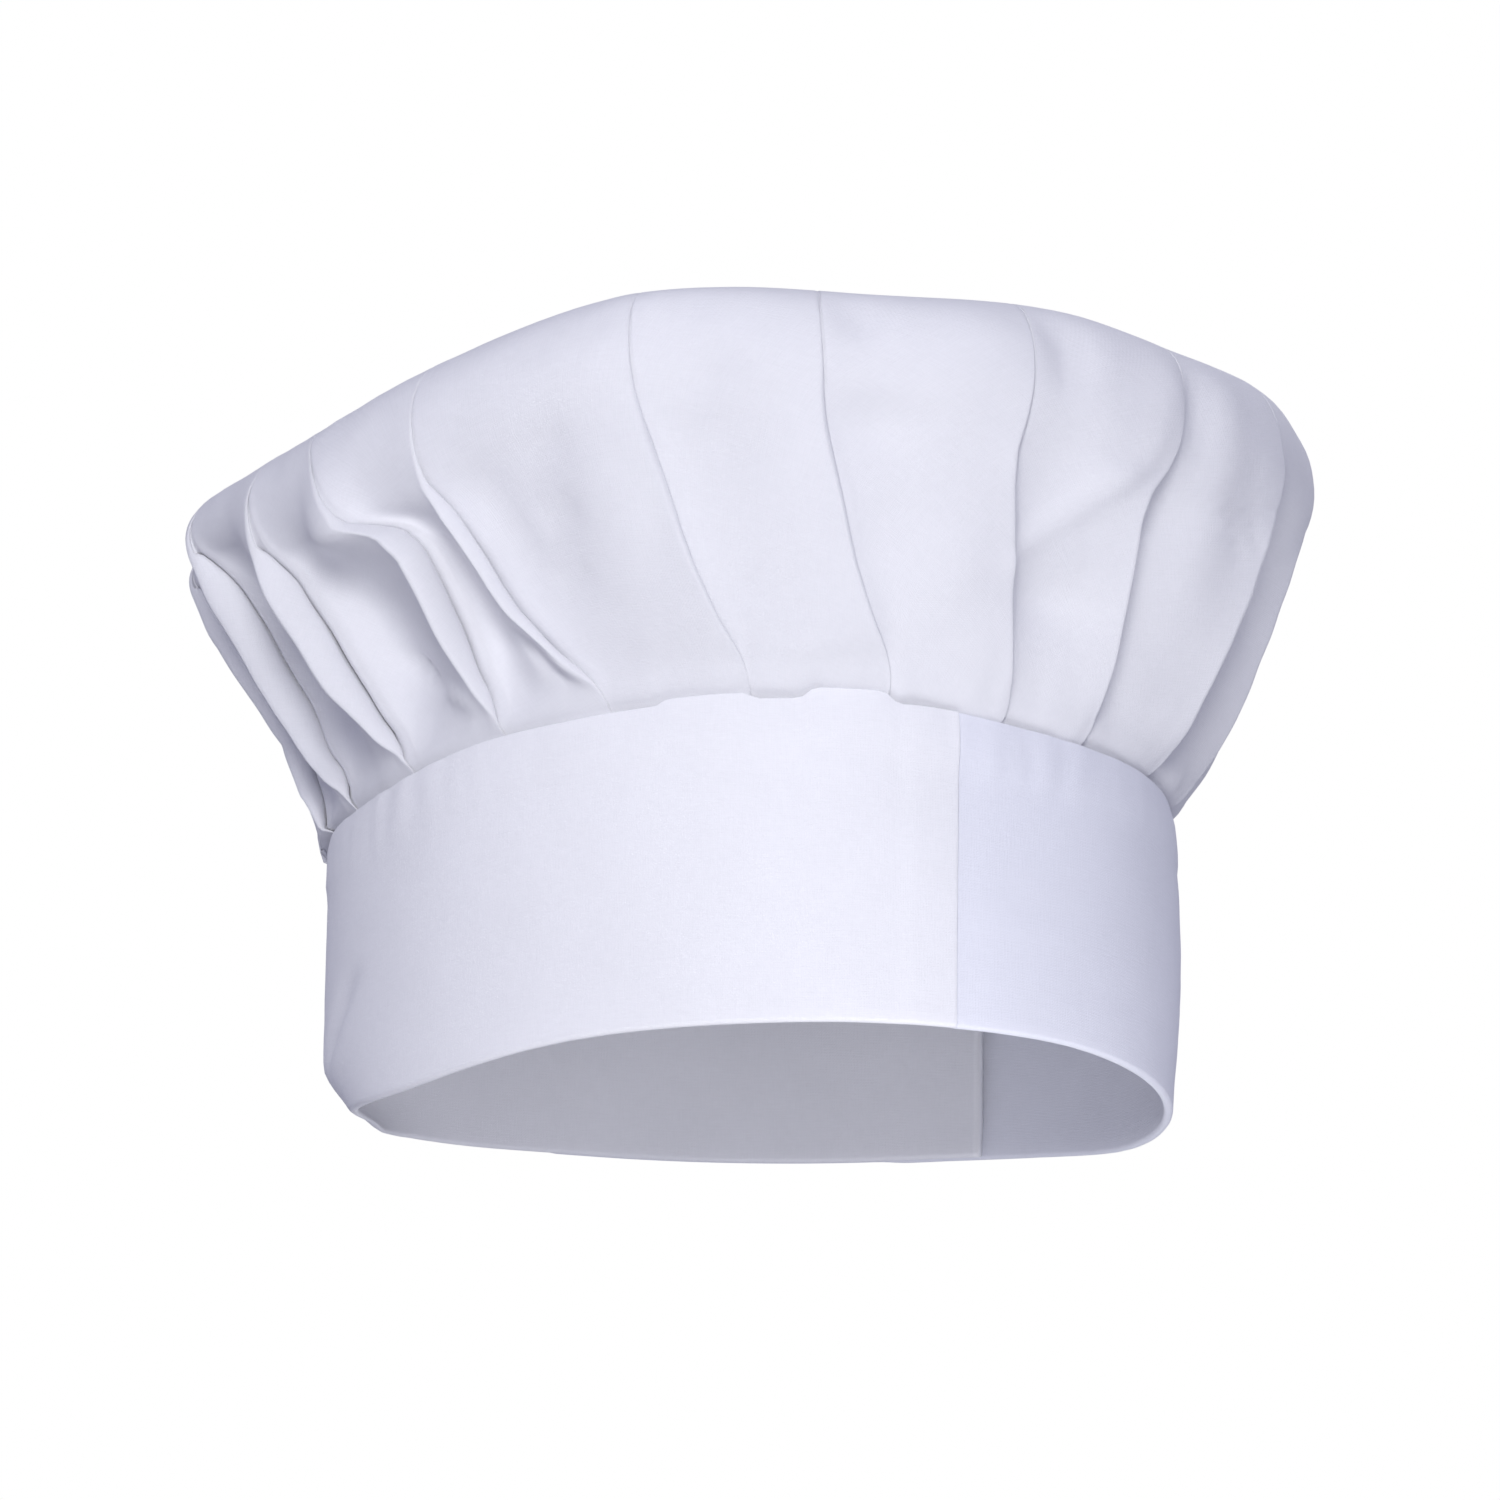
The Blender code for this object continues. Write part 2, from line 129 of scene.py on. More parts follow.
# Pleats: azimuth of the folded edge at the seam, low on the wall, high on the wall and at the rim; then in mm
# the crest of its edge, the hollow of the panel before it, the step down behind it and the edge's radius
PLEATS = (
    (-168, -170, -171, -172, 0.3, 1.0, 1.3, 0.4),
    (-153, -156, -158, -160, 0.5, 1.2, 1.5, 0.4),
    (-139, -143, -146, -149, 0.6, 1.5, 1.7, 0.5),
    (-125, -131, -134, -137, 0.8, 2.2, 2.0, 0.6),
    (-111, -118, -121, -124, 1.2, 3.0, 2.5, 0.7),
    (-97, -105, -107, -110, 2.2, 5.0, 3.4, 0.9),
    (-83, -92, -92, -95, 2.8, 7.5, 4.4, 1.0),
    (-68, -79, -77, -79, 3.2, 9.0, 5.2, 1.1),
    (-51, -57, -61, -64, 3.6, 10.0, 5.6, 1.1),
    (-34, -37.5, -41, -56, 4.0, 10.5, 5.8, 1.2),
    (-18, -29, -35, -39.5, 2.4, 5.5, 3.4, 0.9),
    (0, -7, -12, -14, 0.9, 1.4, 2.4, 0.7),
    (18, 11.5, 7, 6, 0.9, 1.5, 2.6, 0.7),
    (34.5, 31, 28, 30, 0.8, 1.4, 2.6, 0.7),
    (49, 47.5, 45.5, 52, 1.6, 2.2, 6.0, 0.8),
    (67.5, 65.5, 67.5, 71, 4.0, 0.0, 6.8, 1.0),
    (84, 84, 85, 86, 0.6, 6.5, 3.0, 0.9),
    (98, 98, 98, 99, 0.5, 1.6, 2.0, 0.5),
    (112, 112, 112, 112, 0.4, 1.2, 1.6, 0.4),
    (126, 126, 125, 125, 0.3, 1.0, 1.4, 0.4),
    (139, 139, 138, 138, 0.3, 0.9, 1.2, 0.4),
    (151, 151, 150, 150, 0.2, 0.7, 0.9, 0.4),
)
PRESSED = 2.22              # depth of a flat fold, in layers
OVERLAP = ((0.0, 12.0), (0.3, 8.0), (0.72, 4.5), (0.86, 0.5), (0.97, -1.5), (1.3, -6.0))

# Creases and dents of the crown: azimuth and progress of both ends, height in mm (ridge over 0), width in mm
CREASES = (
    (29.5, 0.40, 46.0, 0.84, 0.9, 2.6),
    (-23.5, 0.88, -21.5, 0.30, -1.1, 1.3),
    (-33.0, 0.86, -26.0, 0.40, -0.9, 1.5),
    (-13.5, 0.93, 1.0, 0.82, 0.7, 3.0),
    (1.0, 0.82, -5.0, 0.74, 0.5, 3.0),
    (58.0, 0.86, 63.0, 0.62, -0.6, 1.6),
    (61.0, 0.88, 65.5, 0.66, -0.5, 1.3),
    (-52.0, 0.34, -45.0, 0.20, -1.8, 2.4),
    (-44.0, 0.20, -38.5, 0.12, 1.0, 1.6),
    (-31.0, 0.30, -24.0, 0.10, -1.4, 2.0),
    (-27.0, 0.20, -20.5, 0.08, 1.0, 1.4),
    (33.0, 0.84, 37.5, 0.94, -0.8, 2.6),
)
CREASE_STRENGTH = 1.6
# Azimuth, progress, width in degrees, height in progress, height in mm
DENTS = (
    (-6.0, 0.85, 5.0, 0.07, -1.1),
    (13.0, 0.72, 5.0, 0.12, -1.0),
    (22.0, 0.36, 4.5, 0.16, 0.8),
    (8.0, 0.10, 7.0, 0.10, 0.8),
    (37.0, 0.34, 6.0, 0.10, -1.1),
    (40.0, 0.74, 5.0, 0.10, 0.8),
    (57.0, 0.66, 4.0, 0.20, 0.7),
    (52.5, 0.87, 2.6, 0.05, -0.9),
    (-8.5, 0.90, 2.4, 0.04, -0.7),
    (10.5, 0.90, 2.4, 0.04, -0.8),
    (33.5, 0.90, 2.4, 0.04, -0.8),
    (-17.0, 0.55, 5.0, 0.22, 0.8),
    (-70.0, 0.62, 4.5, 0.22, -1.8),
    (-50.0, 0.78, 4.0, 0.06, 2.2),
    (75.0, 0.5, 5.0, 0.3, -1.2),
)
DENT_STRENGTH = 2.6

# Slit at the back of the crown: azimuths of its sides, where it ends on the wall, how far its sides lean in
SLIT = (160.0, 180.0)
SLIT_CLOSES = 1.50
SLIT_PINCH = 9.4
SLIT_REACH = 45.0
SLIT_COLUMNS = 6

# How far the soft hem rises over the flat it was sewn to, in mm, by azimuth: up in front, down at both sides
HEM_KEYS = ((-150, 0.0), (-120, -2.0), (-108, -4.3), (-88, -6.2), (-64, -8.0), (-52, -7.6), (-44, -5.8),
            (-36, -3.6), (-24, -0.6), (-10, 1.3), (12, 3.2), (28, 3.6), (46, 3.4), (60, 1.8), (72, 0.0),
            (92, -3.4), (108, -4.8), (120, -3.4), (134, -1.2), (150, 0.0))
TUCK_DEPTH = 10.0           # how far the hem turns in at the wearer's right, in mm
TUCK_HEIGHT = 11.0 * MM


# Curves and the head line

def unit(value):
    return np.clip(value, 0.0, 1.0)


def ease(value, low, high):
    """0 up to low and 1 from high on, smooth between."""
    part = unit((np.asarray(value, float) - low) / (high - low))
    return part * part * (3.0 - 2.0 * part)


def fall(value, low, high):
    return 1.0 - ease(value, low, high)


def arch(part):
    return np.sin(math.pi * unit(part))


def knots(value, *pairs):
    """Smooth run through (place, value) pairs."""
    value = np.asarray(value, float)
    result = np.full(value.shape, float(pairs[0][1]))
    for before, after in zip(pairs, pairs[1:]):
        result = result + (after[1] - before[1]) * ease(value, before[0], after[0])
    return result


def mixed(first, second, share):
    return first * share + second * (1.0 - share)


def hump(value, middle, width):
    return np.exp(-((np.asarray(value, float) - middle) / width) ** 2)


def turned_to(azimuth, middle):
    """Signed degrees from one azimuth to another, the short way round."""
    return np.mod(np.asarray(azimuth, float) - middle + 180.0, 360.0) - 180.0


def hump_at(azimuth, middle, width):
    return hump(turned_to(azimuth, middle), 0.0, width)


def arc(azimuth):
    """Length along the band of so many degrees."""
    return np.radians(azimuth) * HALF_WIDTH


def degrees_of(length):
    return math.degrees(length / HALF_WIDTH)


def run_lengths(line):
    """Length along a line of points up to each of them."""
    return np.concatenate([[0.0], np.cumsum(np.linalg.norm(np.diff(line, axis=0), axis=-1))])


def ripple(x, y, size, seed):
    """Smooth noise over a plane of two coordinates in metres, with lumps of about this size."""
    x, y = np.broadcast_arrays(x, y)
    points = zip((x / size).ravel(), (y / size).ravel())
    values = [noise.noise(Vector((a, b, seed * 7.31))) for a, b in points]
    return np.array(values).reshape(x.shape)


def round_the_head(azimuth, column):
    """Periodic cubic through one column of the crown's keys."""
    places = np.array([key[0] for key in CROWN_KEYS], float)
    values = np.array([key[column] for key in CROWN_KEYS], float)
    count = len(CROWN_KEYS)
    turned = turned_to(azimuth, 0.0)
    slot = np.clip(np.searchsorted(places, turned, side="right") - 1, 0, count - 1)
    before, after, beyond = (slot - 1) % count, (slot + 1) % count, (slot + 2) % count
    width = np.mod(places[after] - places[slot], 360.0)
    width_before = np.mod(places[slot] - places[before], 360.0)
    width_after = np.mod(places[beyond] - places[after], 360.0)
    part = (turned - places[slot]) / width
    slope = (values[after] - values[before]) / (width_before + width) * width
    slope_after = (values[beyond] - values[slot]) / (width + width_after) * width
    square, cube = part * part, part ** 3
    return ((2 * cube - 3 * square + 1) * values[slot] + (cube - 2 * square + part) * slope
            + (3 * square - 2 * cube) * values[after] + (cube - square) * slope_after)


def seam_height(azimuth):
    """Top edge of the band. It steps up a little where the crown tucks in flat between two pleats."""
    side = np.sin(np.radians(azimuth))
    near = turned_to(azimuth, 0.0)
    steps = 2.4 * (ease(near, 5.5, 8.0) - ease(near, 16.5, 19.0))
    steps = steps + 1.3 * (ease(near, -13.0, -11.0) - ease(near, -1.5, 0.5))
    steps = steps + 0.5 * np.sin(np.radians(near * 7.0)) * ease(np.abs(near), 20.0, 30.0)
    return BAND_HEIGHT + SEAM_TILT * side - SEAM_ARCH * side * side + steps * MM


def panel_offset(azimuth):
    """How far the short panel stands out, so that the tab clears the underlap."""
    return TAB_OFFSET * ease(azimuth, STEP_START, STEP_END)


def on_head(azimuth, outwards, height):
    angle = np.radians(azimuth)
    x = (HALF_WIDTH + outwards) * np.sin(angle)
    y = -(HALF_DEPTH + outwards) * np.cos(angle)
    return np.stack(np.broadcast_arrays(x, y, height), axis=-1)


def curl(azimuth, height):
    """How far the band is pushed in at the wearer's right: a hem turned in, and a crease up from it."""
    turned = turned_to(azimuth, 0.0)
    low = unit(1.0 - height / TUCK_HEIGHT)
    tucked = TUCK_DEPTH * hump(turned, -93.0, 21.0) * low ** 1.5
    crease = 1.9 * hump(turned - (height / MM - 15.0) * 0.93, -76.0, 3.2)
    crease = crease * ease(height, 6.0 * MM, 13.0 * MM) * fall(height, 20.0 * MM, 29.0 * MM)
    return (tucked + crease) * MM


def swell(azimuth, height):
    """Slight fullness of the band, which bows out at mid-height on its +X side and wavers elsewhere."""
    part = unit(np.asarray(height, float) / BAND_HEIGHT)
    bow = hump_at(azimuth, 88.0, 36.0) * (1.0 + 2.2 * arch(part)) + 1.8 * hump_at(azimuth, -92.0, 30.0)
    lift = 0.45 * np.sin(np.radians(azimuth * 3.0 + 40.0)) * part * (1.0 - part) * 2.0
    return (bow + lift) * MM


def hem_rise(azimuth, height):
    """How far the soft hem and the cloth above it stand over the flat they were sewn to."""
    places, rises = zip(*HEM_KEYS)
    turned = turned_to(azimuth, 0.0)
    beside = np.interp(turned - 6.0, places, rises) + np.interp(turned + 6.0, places, rises)
    rise = 0.5 * np.interp(turned, places, rises) + 0.25 * beside
    return rise * MM * unit(1.0 - height / BAND_HEIGHT) ** 1.5


def band_point(azimuth, outwards, height):
    """A point of any band layer, with the band's dent, its fullness and its uneven hem."""
    pushed = curl(azimuth, height)
    risen = height + 0.08 * pushed + hem_rise(azimuth, height)
    return on_head(azimuth, outwards + swell(azimuth, height) - pushed, risen)


def puckers(azimuth, height, top):
    """Outward relief of the band's outer wall: ridge over the seam allowance, puckers and soft waves."""
    below = top - height
    ridge = 0.55 * fall(below, 10.3 * MM, 13.0 * MM) * ease(below, 0.0, 3.0 * MM)
    strength = 0.18 + 0.45 * hump_at(azimuth, 36.0, 9.0) + 0.25 * hump_at(azimuth, -52.0, 16.0)
    fine = ripple(arc(azimuth), height * 0.25, 5.0 * MM, 3) * strength * fall(below, 8.0 * MM, 17.0 * MM)
    broad = 0.35 * ripple(arc(azimuth), height, 38.0 * MM, 5)
    broad = broad + 0.10 * ripple(arc(azimuth), height * 2.5, 14.0 * MM, 9)
    return (ridge + fine + broad * ease(height, 0.0, 8.0 * MM)) * MM


# Meshes

def link(name, data):
    made = bpy.data.objects.new(name, data)
    bpy.context.scene.collection.objects.link(made)
    return made


def mesh_object(name, verts, faces, material, uvs=None):
    mesh = bpy.data.meshes.new(name)
    mesh.from_pydata([tuple(vert) for vert in verts], [], faces)
    mesh.update()
    mesh.shade_smooth()
    if uvs is not None:
        layer = mesh.uv_layers.new(name="cloth")
        corners = np.empty(len(mesh.loops), int)
        mesh.loops.foreach_get("vertex_index", corners)
        layer.data.foreach_set("uv", np.asarray(uvs, float)[corners].ravel())
    if material is not None:
        mesh.materials.append(material)
    return link(name, mesh)


def grid_object(name, points, material, uvs=None, closed=False, centre=None, skip=None, flip=False, extra=()):
    """A sheet from rows of points. Columns join up if closed, and the last row meets a centre if given.

    "extra" are faces added as they are, by the points' numbers.
    """
    rows, columns = points.shape[:2]
    last = columns if closed else columns - 1
    verts = list(points.reshape(-1, 3))
    flat = None if uvs is None else list(uvs.reshape(-1, 2))
    faces = []
    for row in range(rows - 1):
        for column in range(last):
            if skip is not None and skip(row, column):
                continue
            after = (column + 1) % columns
            faces.append((row * columns + column, row * columns + after,
                          (row + 1) * columns + after, (row + 1) * columns + column))
    if centre is not None:
        rim = (rows - 1) * columns
        verts.append(centre)
        if flat is not None:
            flat.append((0.0, 0.0))
        faces += [(rim + column, rim + (column + 1) % columns, len(verts) - 1) for column in range(last)]
    if flip:
        faces = [face[::-1] for face in faces]
    return mesh_object(name, verts, faces + list(extra), material, flat)


def thicken(made, thickness):
    """Cloth thickness on the side away from the normals, applied so that the mesh is final."""
    solidify = made.modifiers.new("Thickness", "SOLIDIFY")
    solidify.thickness = thickness
    solidify.offset = -1.0
    graph = bpy.context.evaluated_depsgraph_get()
    mesh = bpy.data.meshes.new_from_object(made.evaluated_get(graph))
    old = made.data
    made.modifiers.clear()
    made.data = mesh
    bpy.data.meshes.remove(old)
    return made


# Crown surface before pleating. "along" runs 0 to 1 on the skirt inside the band, to 2 up the wall,
# to 3 over the rim and to 4 at the middle of the top.

def crown_base(azimuth, along):
    azimuth, along = np.broadcast_arrays(np.asarray(azimuth, float), np.asarray(along, float))
    reach, widest, rim, rounding, belly = (round_the_head(azimuth, column) * MM for column in range(1, 6))
    seam = seam_height(azimuth)
    held = panel_offset(azimuth) - 2 * LAYER
    wall, over, top = (unit(along - first) for first in (1.0, 2.0, 3.0))
    # The wall runs up to where it touches the rim's elliptical arc, "lean" below the widest ring
    rise = rim - widest
    inner = reach - rounding - held
    climb = widest - seam
    lean = np.arctan2(inner * rise, climb * rounding)
    lean = lean + np.arcsin(rounding * rise / np.hypot(climb * rounding, inner * rise))
    meet = reach - rounding * (1.0 - np.cos(lean))
    meet_height = widest - rise * np.sin(lean)
    turn = -lean + (math.pi / 2 + lean) * over
    out = held + (meet - held) * wall + belly * arch(wall ** 0.7) + 0.5 * MM * arch(wall / 0.1)
    out = out + DROOP * hump_at(azimuth, -94.0, 17.0) * arch((wall / 0.42) ** 0.6)
    height = seam - SEAM_ALLOWANCE * (1.0 - unit(along)) + (meet_height - seam) * wall
    out = np.where(along > 2.0, reach - rounding * (1.0 - np.cos(turn)), out)
    height = np.where(along > 2.0, widest + rise * np.sin(turn), height)
    out = out + swell(azimuth, height) * (along < 1.0)
    height = height - OVERHANG * hump_at(azimuth, -96.0, 13.0) * arch(wall / 0.16) ** 2
    point = on_head(azimuth, out, height)
    point[..., :2] *= (1.0 - top)[..., None]
    point[..., 2] += (CROWN_TOP - 1.0 * MM - rim) * ease(top, 0.0, 1.0)
    return point


def crown_normals(azimuth, along):
    step_turn, step_along = 0.4, 0.01
    side = crown_base(azimuth + step_turn, along) - crown_base(azimuth - step_turn, along)
    low = np.clip(along - step_along, 0.0, 3.9)
    up = crown_base(azimuth, low + 2 * step_along) - crown_base(azimuth, low)
    normal = np.cross(side, up)
    return normal / np.maximum(np.linalg.norm(normal, axis=-1, keepdims=True), 1e-12)


def progress(along):
    """0 at the seam, 0.8 at the top of the wall, 1 at the top of the rim and 2 at the middle of the top."""
    wall, rim, top = (unit(along - first) for first in (1.0, 2.0, 3.0))
    return 0.8 * wall + 0.2 * rim + top


PANEL_PARTS = np.array([0.03, 0.08, 0.15, 0.24, 0.34, 0.44, 0.54, 0.64, 0.73, 0.81, 0.87, 0.92, 0.955, 0.98,
                        1.0])
FOLD_PARTS = np.array([0.10, 0.22, 0.36, 0.5, 0.64, 0.78, 0.90, 1.0])


def bezier(start, start_handle, end_handle, end, part):
    rest = 1.0 - part
    return (rest ** 3 * start + 3 * rest ** 2 * part * start_handle
            + 3 * rest * part ** 2 * end_handle + part ** 3 * end)


def fold_shape(pleat, u):
    """One pleat's line, overlap, crest, hollow, depth behind the edge and edge's radius, in every row."""
    seam, low, high, rim, crest, hollow, step, radius = pleat
    places = np.array([0.0, 0.33, 0.72, 0.92, 1.4])
    values = np.array([seam, low, high, rim, rim + (rim - high) * 0.4])
    before, here, after = (np.interp(u + away, places, values) for away in (-0.09, 0.0, 0.09))
    line = 0.5 * here + 0.25 * before + 0.25 * after
    line = line + (seam - line) * fall(u, 0.0, 0.2) * 0.5
    grow = knots(u, (0.0, 0.0), (0.16, 0.65), (0.38, 1.0), (0.66, 1.0), (0.90, 0.0))
    deep = knots(u, (0.0, 0.0), (0.36, 1.0), (0.48, 1.0), (0.96, 0.0))
    pressed = PRESSED * LAYER / MM
    depth = mixed(np.maximum(step, pressed), pressed, grow) * knots(u, (0.0, 1.0), (0.78, 1.0), (0.925, 0.0))
    edge = mixed(radius, LAYER / MM, grow) * knots(u, (0.0, 1.0), (0.90, 1.0), (1.0, 0.1))
    return line, knots(u, *OVERLAP) * MM, crest * grow * MM, hollow * deep * MM, depth * MM, edge * MM


def panel_relief(part, start_out, hollow, crest):
    """Outward relief of a panel across its width: down to its hollow, then up steeply to the folded edge."""
    rise = start_out * fall(part, 0.0, 0.8)
    return rise - hollow * arch(part ** 0.7) + crest * unit((part - 0.6) / 0.4) ** 1.6


def sag_below(azimuth, start, end, start_out, hollow, crest):
    """How much the hidden layers of a pleat give way to the hollow of the panel that covers them."""
    part = np.clip((azimuth - start) / (end - start), 0.2, 1.0)
    return np.minimum(panel_relief(part, start_out, hollow, crest) - crest, 0.0)


def crown_grid(rows):
    """Azimuth and outward offset of every vertex of the pleated crown, row by row.

    Every pleat is a panel up to its folded edge, then the cloth that turns under it and comes back. Where the
    overlap runs out below the rim, the fold opens into a plain step.
    """
    u = progress(rows)
    to_degrees = np.degrees(1.0 / (HALF_WIDTH + CROWN_REACH * np.minimum(u, 1.0)))[:, None]
    turns, offsets = [], []
    start = np.full((len(u), 1), SLIT[1] - 360.0)
    start_out = np.zeros((len(u), 1))
    for pleat in PLEATS:
        line, overlap, crest, hollow, depth, radius = (value[:, None] for value in fold_shape(pleat, u))
        folded = ease(overlap, -3.0 * MM, 3.0 * MM)
        spread = (1.0 - folded) * np.maximum(-overlap, 0.0)
        edge = radius * (1.0 + folded) + spread
        end = line - edge * to_degrees
        turns.append(start + (end - start) * PANEL_PARTS)
        offsets.append(panel_relief(PANEL_PARTS, start_out, hollow, crest))

        angle = np.radians(mixed(180.0, 12.0, folded))
        middle_side = -overlap * 0.5
        middle_out = np.minimum(crest - radius - depth * 0.5, -(depth - crest) * 0.5)
        middle_out = np.where(folded > 0.9, np.minimum(crest - 2.0 * radius, -depth + 0.05 * MM), middle_out)
        reach = np.abs(overlap) * 0.45 + radius * 2.2
        sideways, outwards = reach * np.cos(angle), reach * np.sin(angle) * 0.25
        inner = middle_side - np.maximum(overlap, 0.0) * 0.5
        finish_side = 1.0 * MM * folded + spread
        depart = middle_side + sideways
        depart = mixed(np.minimum(depart, inner + (middle_side - inner) * 0.3), depart, folded)
        arrive = mixed(inner, finish_side - reach * 0.5, folded)
        under = (bezier(-edge, -edge * 0.25, middle_side - sideways, middle_side, FOLD_PARTS),
                 bezier(crest, crest, middle_out + outwards, middle_out, FOLD_PARTS))
        back = (bezier(middle_side, depart, arrive, finish_side, FOLD_PARTS),
                bezier(middle_out, middle_out - outwards, -depth, -depth, FOLD_PARTS))
        for side, out in (under, back):
            turn = line + side * to_degrees
            turns.append(turn)
            offsets.append(out + sag_below(turn, start, end, start_out, hollow, crest))
        start = line + finish_side * to_degrees
        start_out = -depth
    turns.append(start + (SLIT[0] - start) * PANEL_PARTS)
    offsets.append(panel_relief(PANEL_PARTS, start_out, 0.0, 0.0))
    slit = np.linspace(*SLIT, SLIT_COLUMNS + 2)[1:-1]
    turns.append(np.broadcast_to(slit, (len(u), SLIT_COLUMNS)))
    offsets.append(np.zeros((len(u), SLIT_COLUMNS)))
    turns, offsets = np.hstack(turns), np.hstack(offsets)
    columns = turns.shape[1]
    even = SLIT[1] - 360.0 + 360.0 * np.arange(columns) / columns
    return turns + (even - turns) * ease(u, 1.0, 1.7)[:, None], offsets


def crown_rows():
    skirt = np.linspace(0.0, 1.0, 5)[:-1]
    wall = 1.0 + np.linspace(0.0, 1.0, 40)[:-1] ** 1.1
    rim = 2.0 + np.linspace(0.0, 1.0, 20)[:-1]
    top = 3.0 + np.linspace(0.0, TOP_END, 26) ** 1.15
    return np.concatenate([skirt, wall, rim, top])


def slit_lean(azimuth, along):
    """Degrees by which the cloth leans towards the slit's middle, so that the slit narrows to its top."""
    part = unit((along - 1.0) / (SLIT_CLOSES - 1.0))
    near_slit = SLIT_PINCH * (1.0 - np.sqrt(unit(1.0 - part ** 1.6)))
    near_slit = np.where(along > SLIT_CLOSES, SLIT_PINCH * fall(along, SLIT_CLOSES, 3.0), near_slit)
    gentle_top = SLIT_CLOSES + 0.2
    further = SLIT_PINCH * ease(along, 1.0, gentle_top) * fall(along, gentle_top, 3.0)
    half = (SLIT[1] - SLIT[0]) / 2
    away = turned_to(azimuth, sum(SLIT) / 2)
    near = unit(1.0 - (np.abs(away) - half) / SLIT_REACH)
    outside = -np.sign(away) * (near_slit * near ** 6 + further * (near - near ** 6))
    return np.where(np.abs(away) <= half, -away / half * near_slit, outside)


def crease_relief(azimuth, u):
    """Outward relief of the named creases and dents."""
    radius = HALF_WIDTH + CROWN_REACH
    px, py = np.radians(azimuth) * radius, u * WALL_LENGTH
    relief = np.zeros(azimuth.shape)
    for turn_a, up_a, turn_b, up_b, height, width in CREASES:
        ax, ay = math.radians(turn_a) * radius, up_a * WALL_LENGTH
        bx, by = math.radians(turn_b) * radius, up_b * WALL_LENGTH
        length = math.hypot(bx - ax, by - ay)
        along = unit(((px - ax) * (bx - ax) + (py - ay) * (by - ay)) / length ** 2)
        away = np.hypot(px - ax - along * (bx - ax), py - ay - along * (by - ay))
        strength = CREASE_STRENGTH * height * (0.35 + 0.65 * arch(along))
        relief = relief + strength * np.exp(-(away / (width * MM)) ** 2)
    for turn, up, width, tall, height in DENTS:
        relief = relief + DENT_STRENGTH * height * hump(azimuth, turn, width) * hump(u, up, tall)
    return relief * MM


def cloth_coordinates(points):
    """Flat coordinates of the crown's round cut, in metres: rings round the middle, turned by length."""
    gaps = np.linalg.norm(np.diff(points, axis=0), axis=-1).mean(axis=1)
    ring = np.concatenate([np.cumsum(gaps[::-1])[::-1], [0.0]]) + 3.0 * MM
    angle = run_lengths(points[len(points) // 3])
    angle = angle / angle[-1] * 2 * math.pi
    return np.stack([ring[:, None] * np.cos(angle), ring[:, None] * np.sin(angle)], axis=-1)


# Slumping of the crown's top: a plain disc of the same cloth, held at the rim, settles under its own weight

TOP_ROWS = 22
TOP_COLUMNS = 96
TOP_FRAMES = 40
TOP_END = 0.97              # last row, as a share of the way to the middle
TOP_CLOTH = {"quality": 6, "mass": 0.15, "tension_stiffness": 60.0, "compression_stiffness": 60.0,
             "shear_stiffness": 4.0, "bending_stiffness": 4.0, "air_damping": 2.0, "shrink_min": -0.0012}
TOP_GRAVITY = 0.3


def top_disc():
    along = 3.0 + np.linspace(0.0, TOP_END, TOP_ROWS)[:, None]
    azimuth = np.linspace(-180.0, 180.0, TOP_COLUMNS, endpoint=False)[None, :]
    points = crown_base(azimuth, along)
    points[..., 2] += 2.0 * MM * ripple(points[..., 0], points[..., 1], 27.0 * MM, 41) * ease(along, 3.0, 3.2)
    return points


def settled_top():
    """How far every point of the disc moves when the cloth settles: rows from the rim to the middle."""
    before = top_disc()
    disc = grid_object("top_disc", before, None, closed=True, centre=before[-1].mean(axis=0))
    held = disc.vertex_groups.new(name="held")
    held.add(list(range(TOP_COLUMNS)), 1.0, "ADD")
    cloth = disc.modifiers.new("Cloth", "CLOTH")
    for name, value in TOP_CLOTH.items():
        setattr(cloth.settings, name, value)
    cloth.settings.effector_weights.gravity = TOP_GRAVITY
    cloth.settings.vertex_group_mass = "held"
    cloth.collision_settings.use_collision = False
    cloth.point_cache.frame_start = 1
    cloth.point_cache.frame_end = TOP_FRAMES
    scene = bpy.context.scene
    for moment in range(1, TOP_FRAMES + 1):
        scene.frame_set(moment)
    settled = disc.evaluated_get(bpy.context.evaluated_depsgraph_get())
    mesh = settled.to_mesh()
    after = np.empty(len(mesh.vertices) * 3)
    mesh.vertices.foreach_get("co", after)
    after = after.reshape(-1, 3)[:-1].reshape(before.shape)
    settled.to_mesh_clear()
    plain = disc.data
    bpy.data.objects.remove(disc)
    bpy.data.meshes.remove(plain)
    scene.frame_set(1)
    return after - before


def slump(azimuth, along, moved):
    """The settled disc's movement at any point of the crown's top, and none below the rim."""
    row = unit((along - 3.0) / TOP_END) * (TOP_ROWS - 1)
    column = np.mod(azimuth + 180.0, 360.0) / 360.0 * TOP_COLUMNS
    low_row = np.minimum(row.astype(int), TOP_ROWS - 2)
    low_column = column.astype(int) % TOP_COLUMNS
    after = (low_column + 1) % TOP_COLUMNS
    down, across = (row - low_row)[..., None], (column - np.floor(column))[..., None]
    near, far = (mixed(moved[line, after], moved[line, low_column], across)
                 for line in (low_row, low_row + 1))
    return mixed(far, near, down)


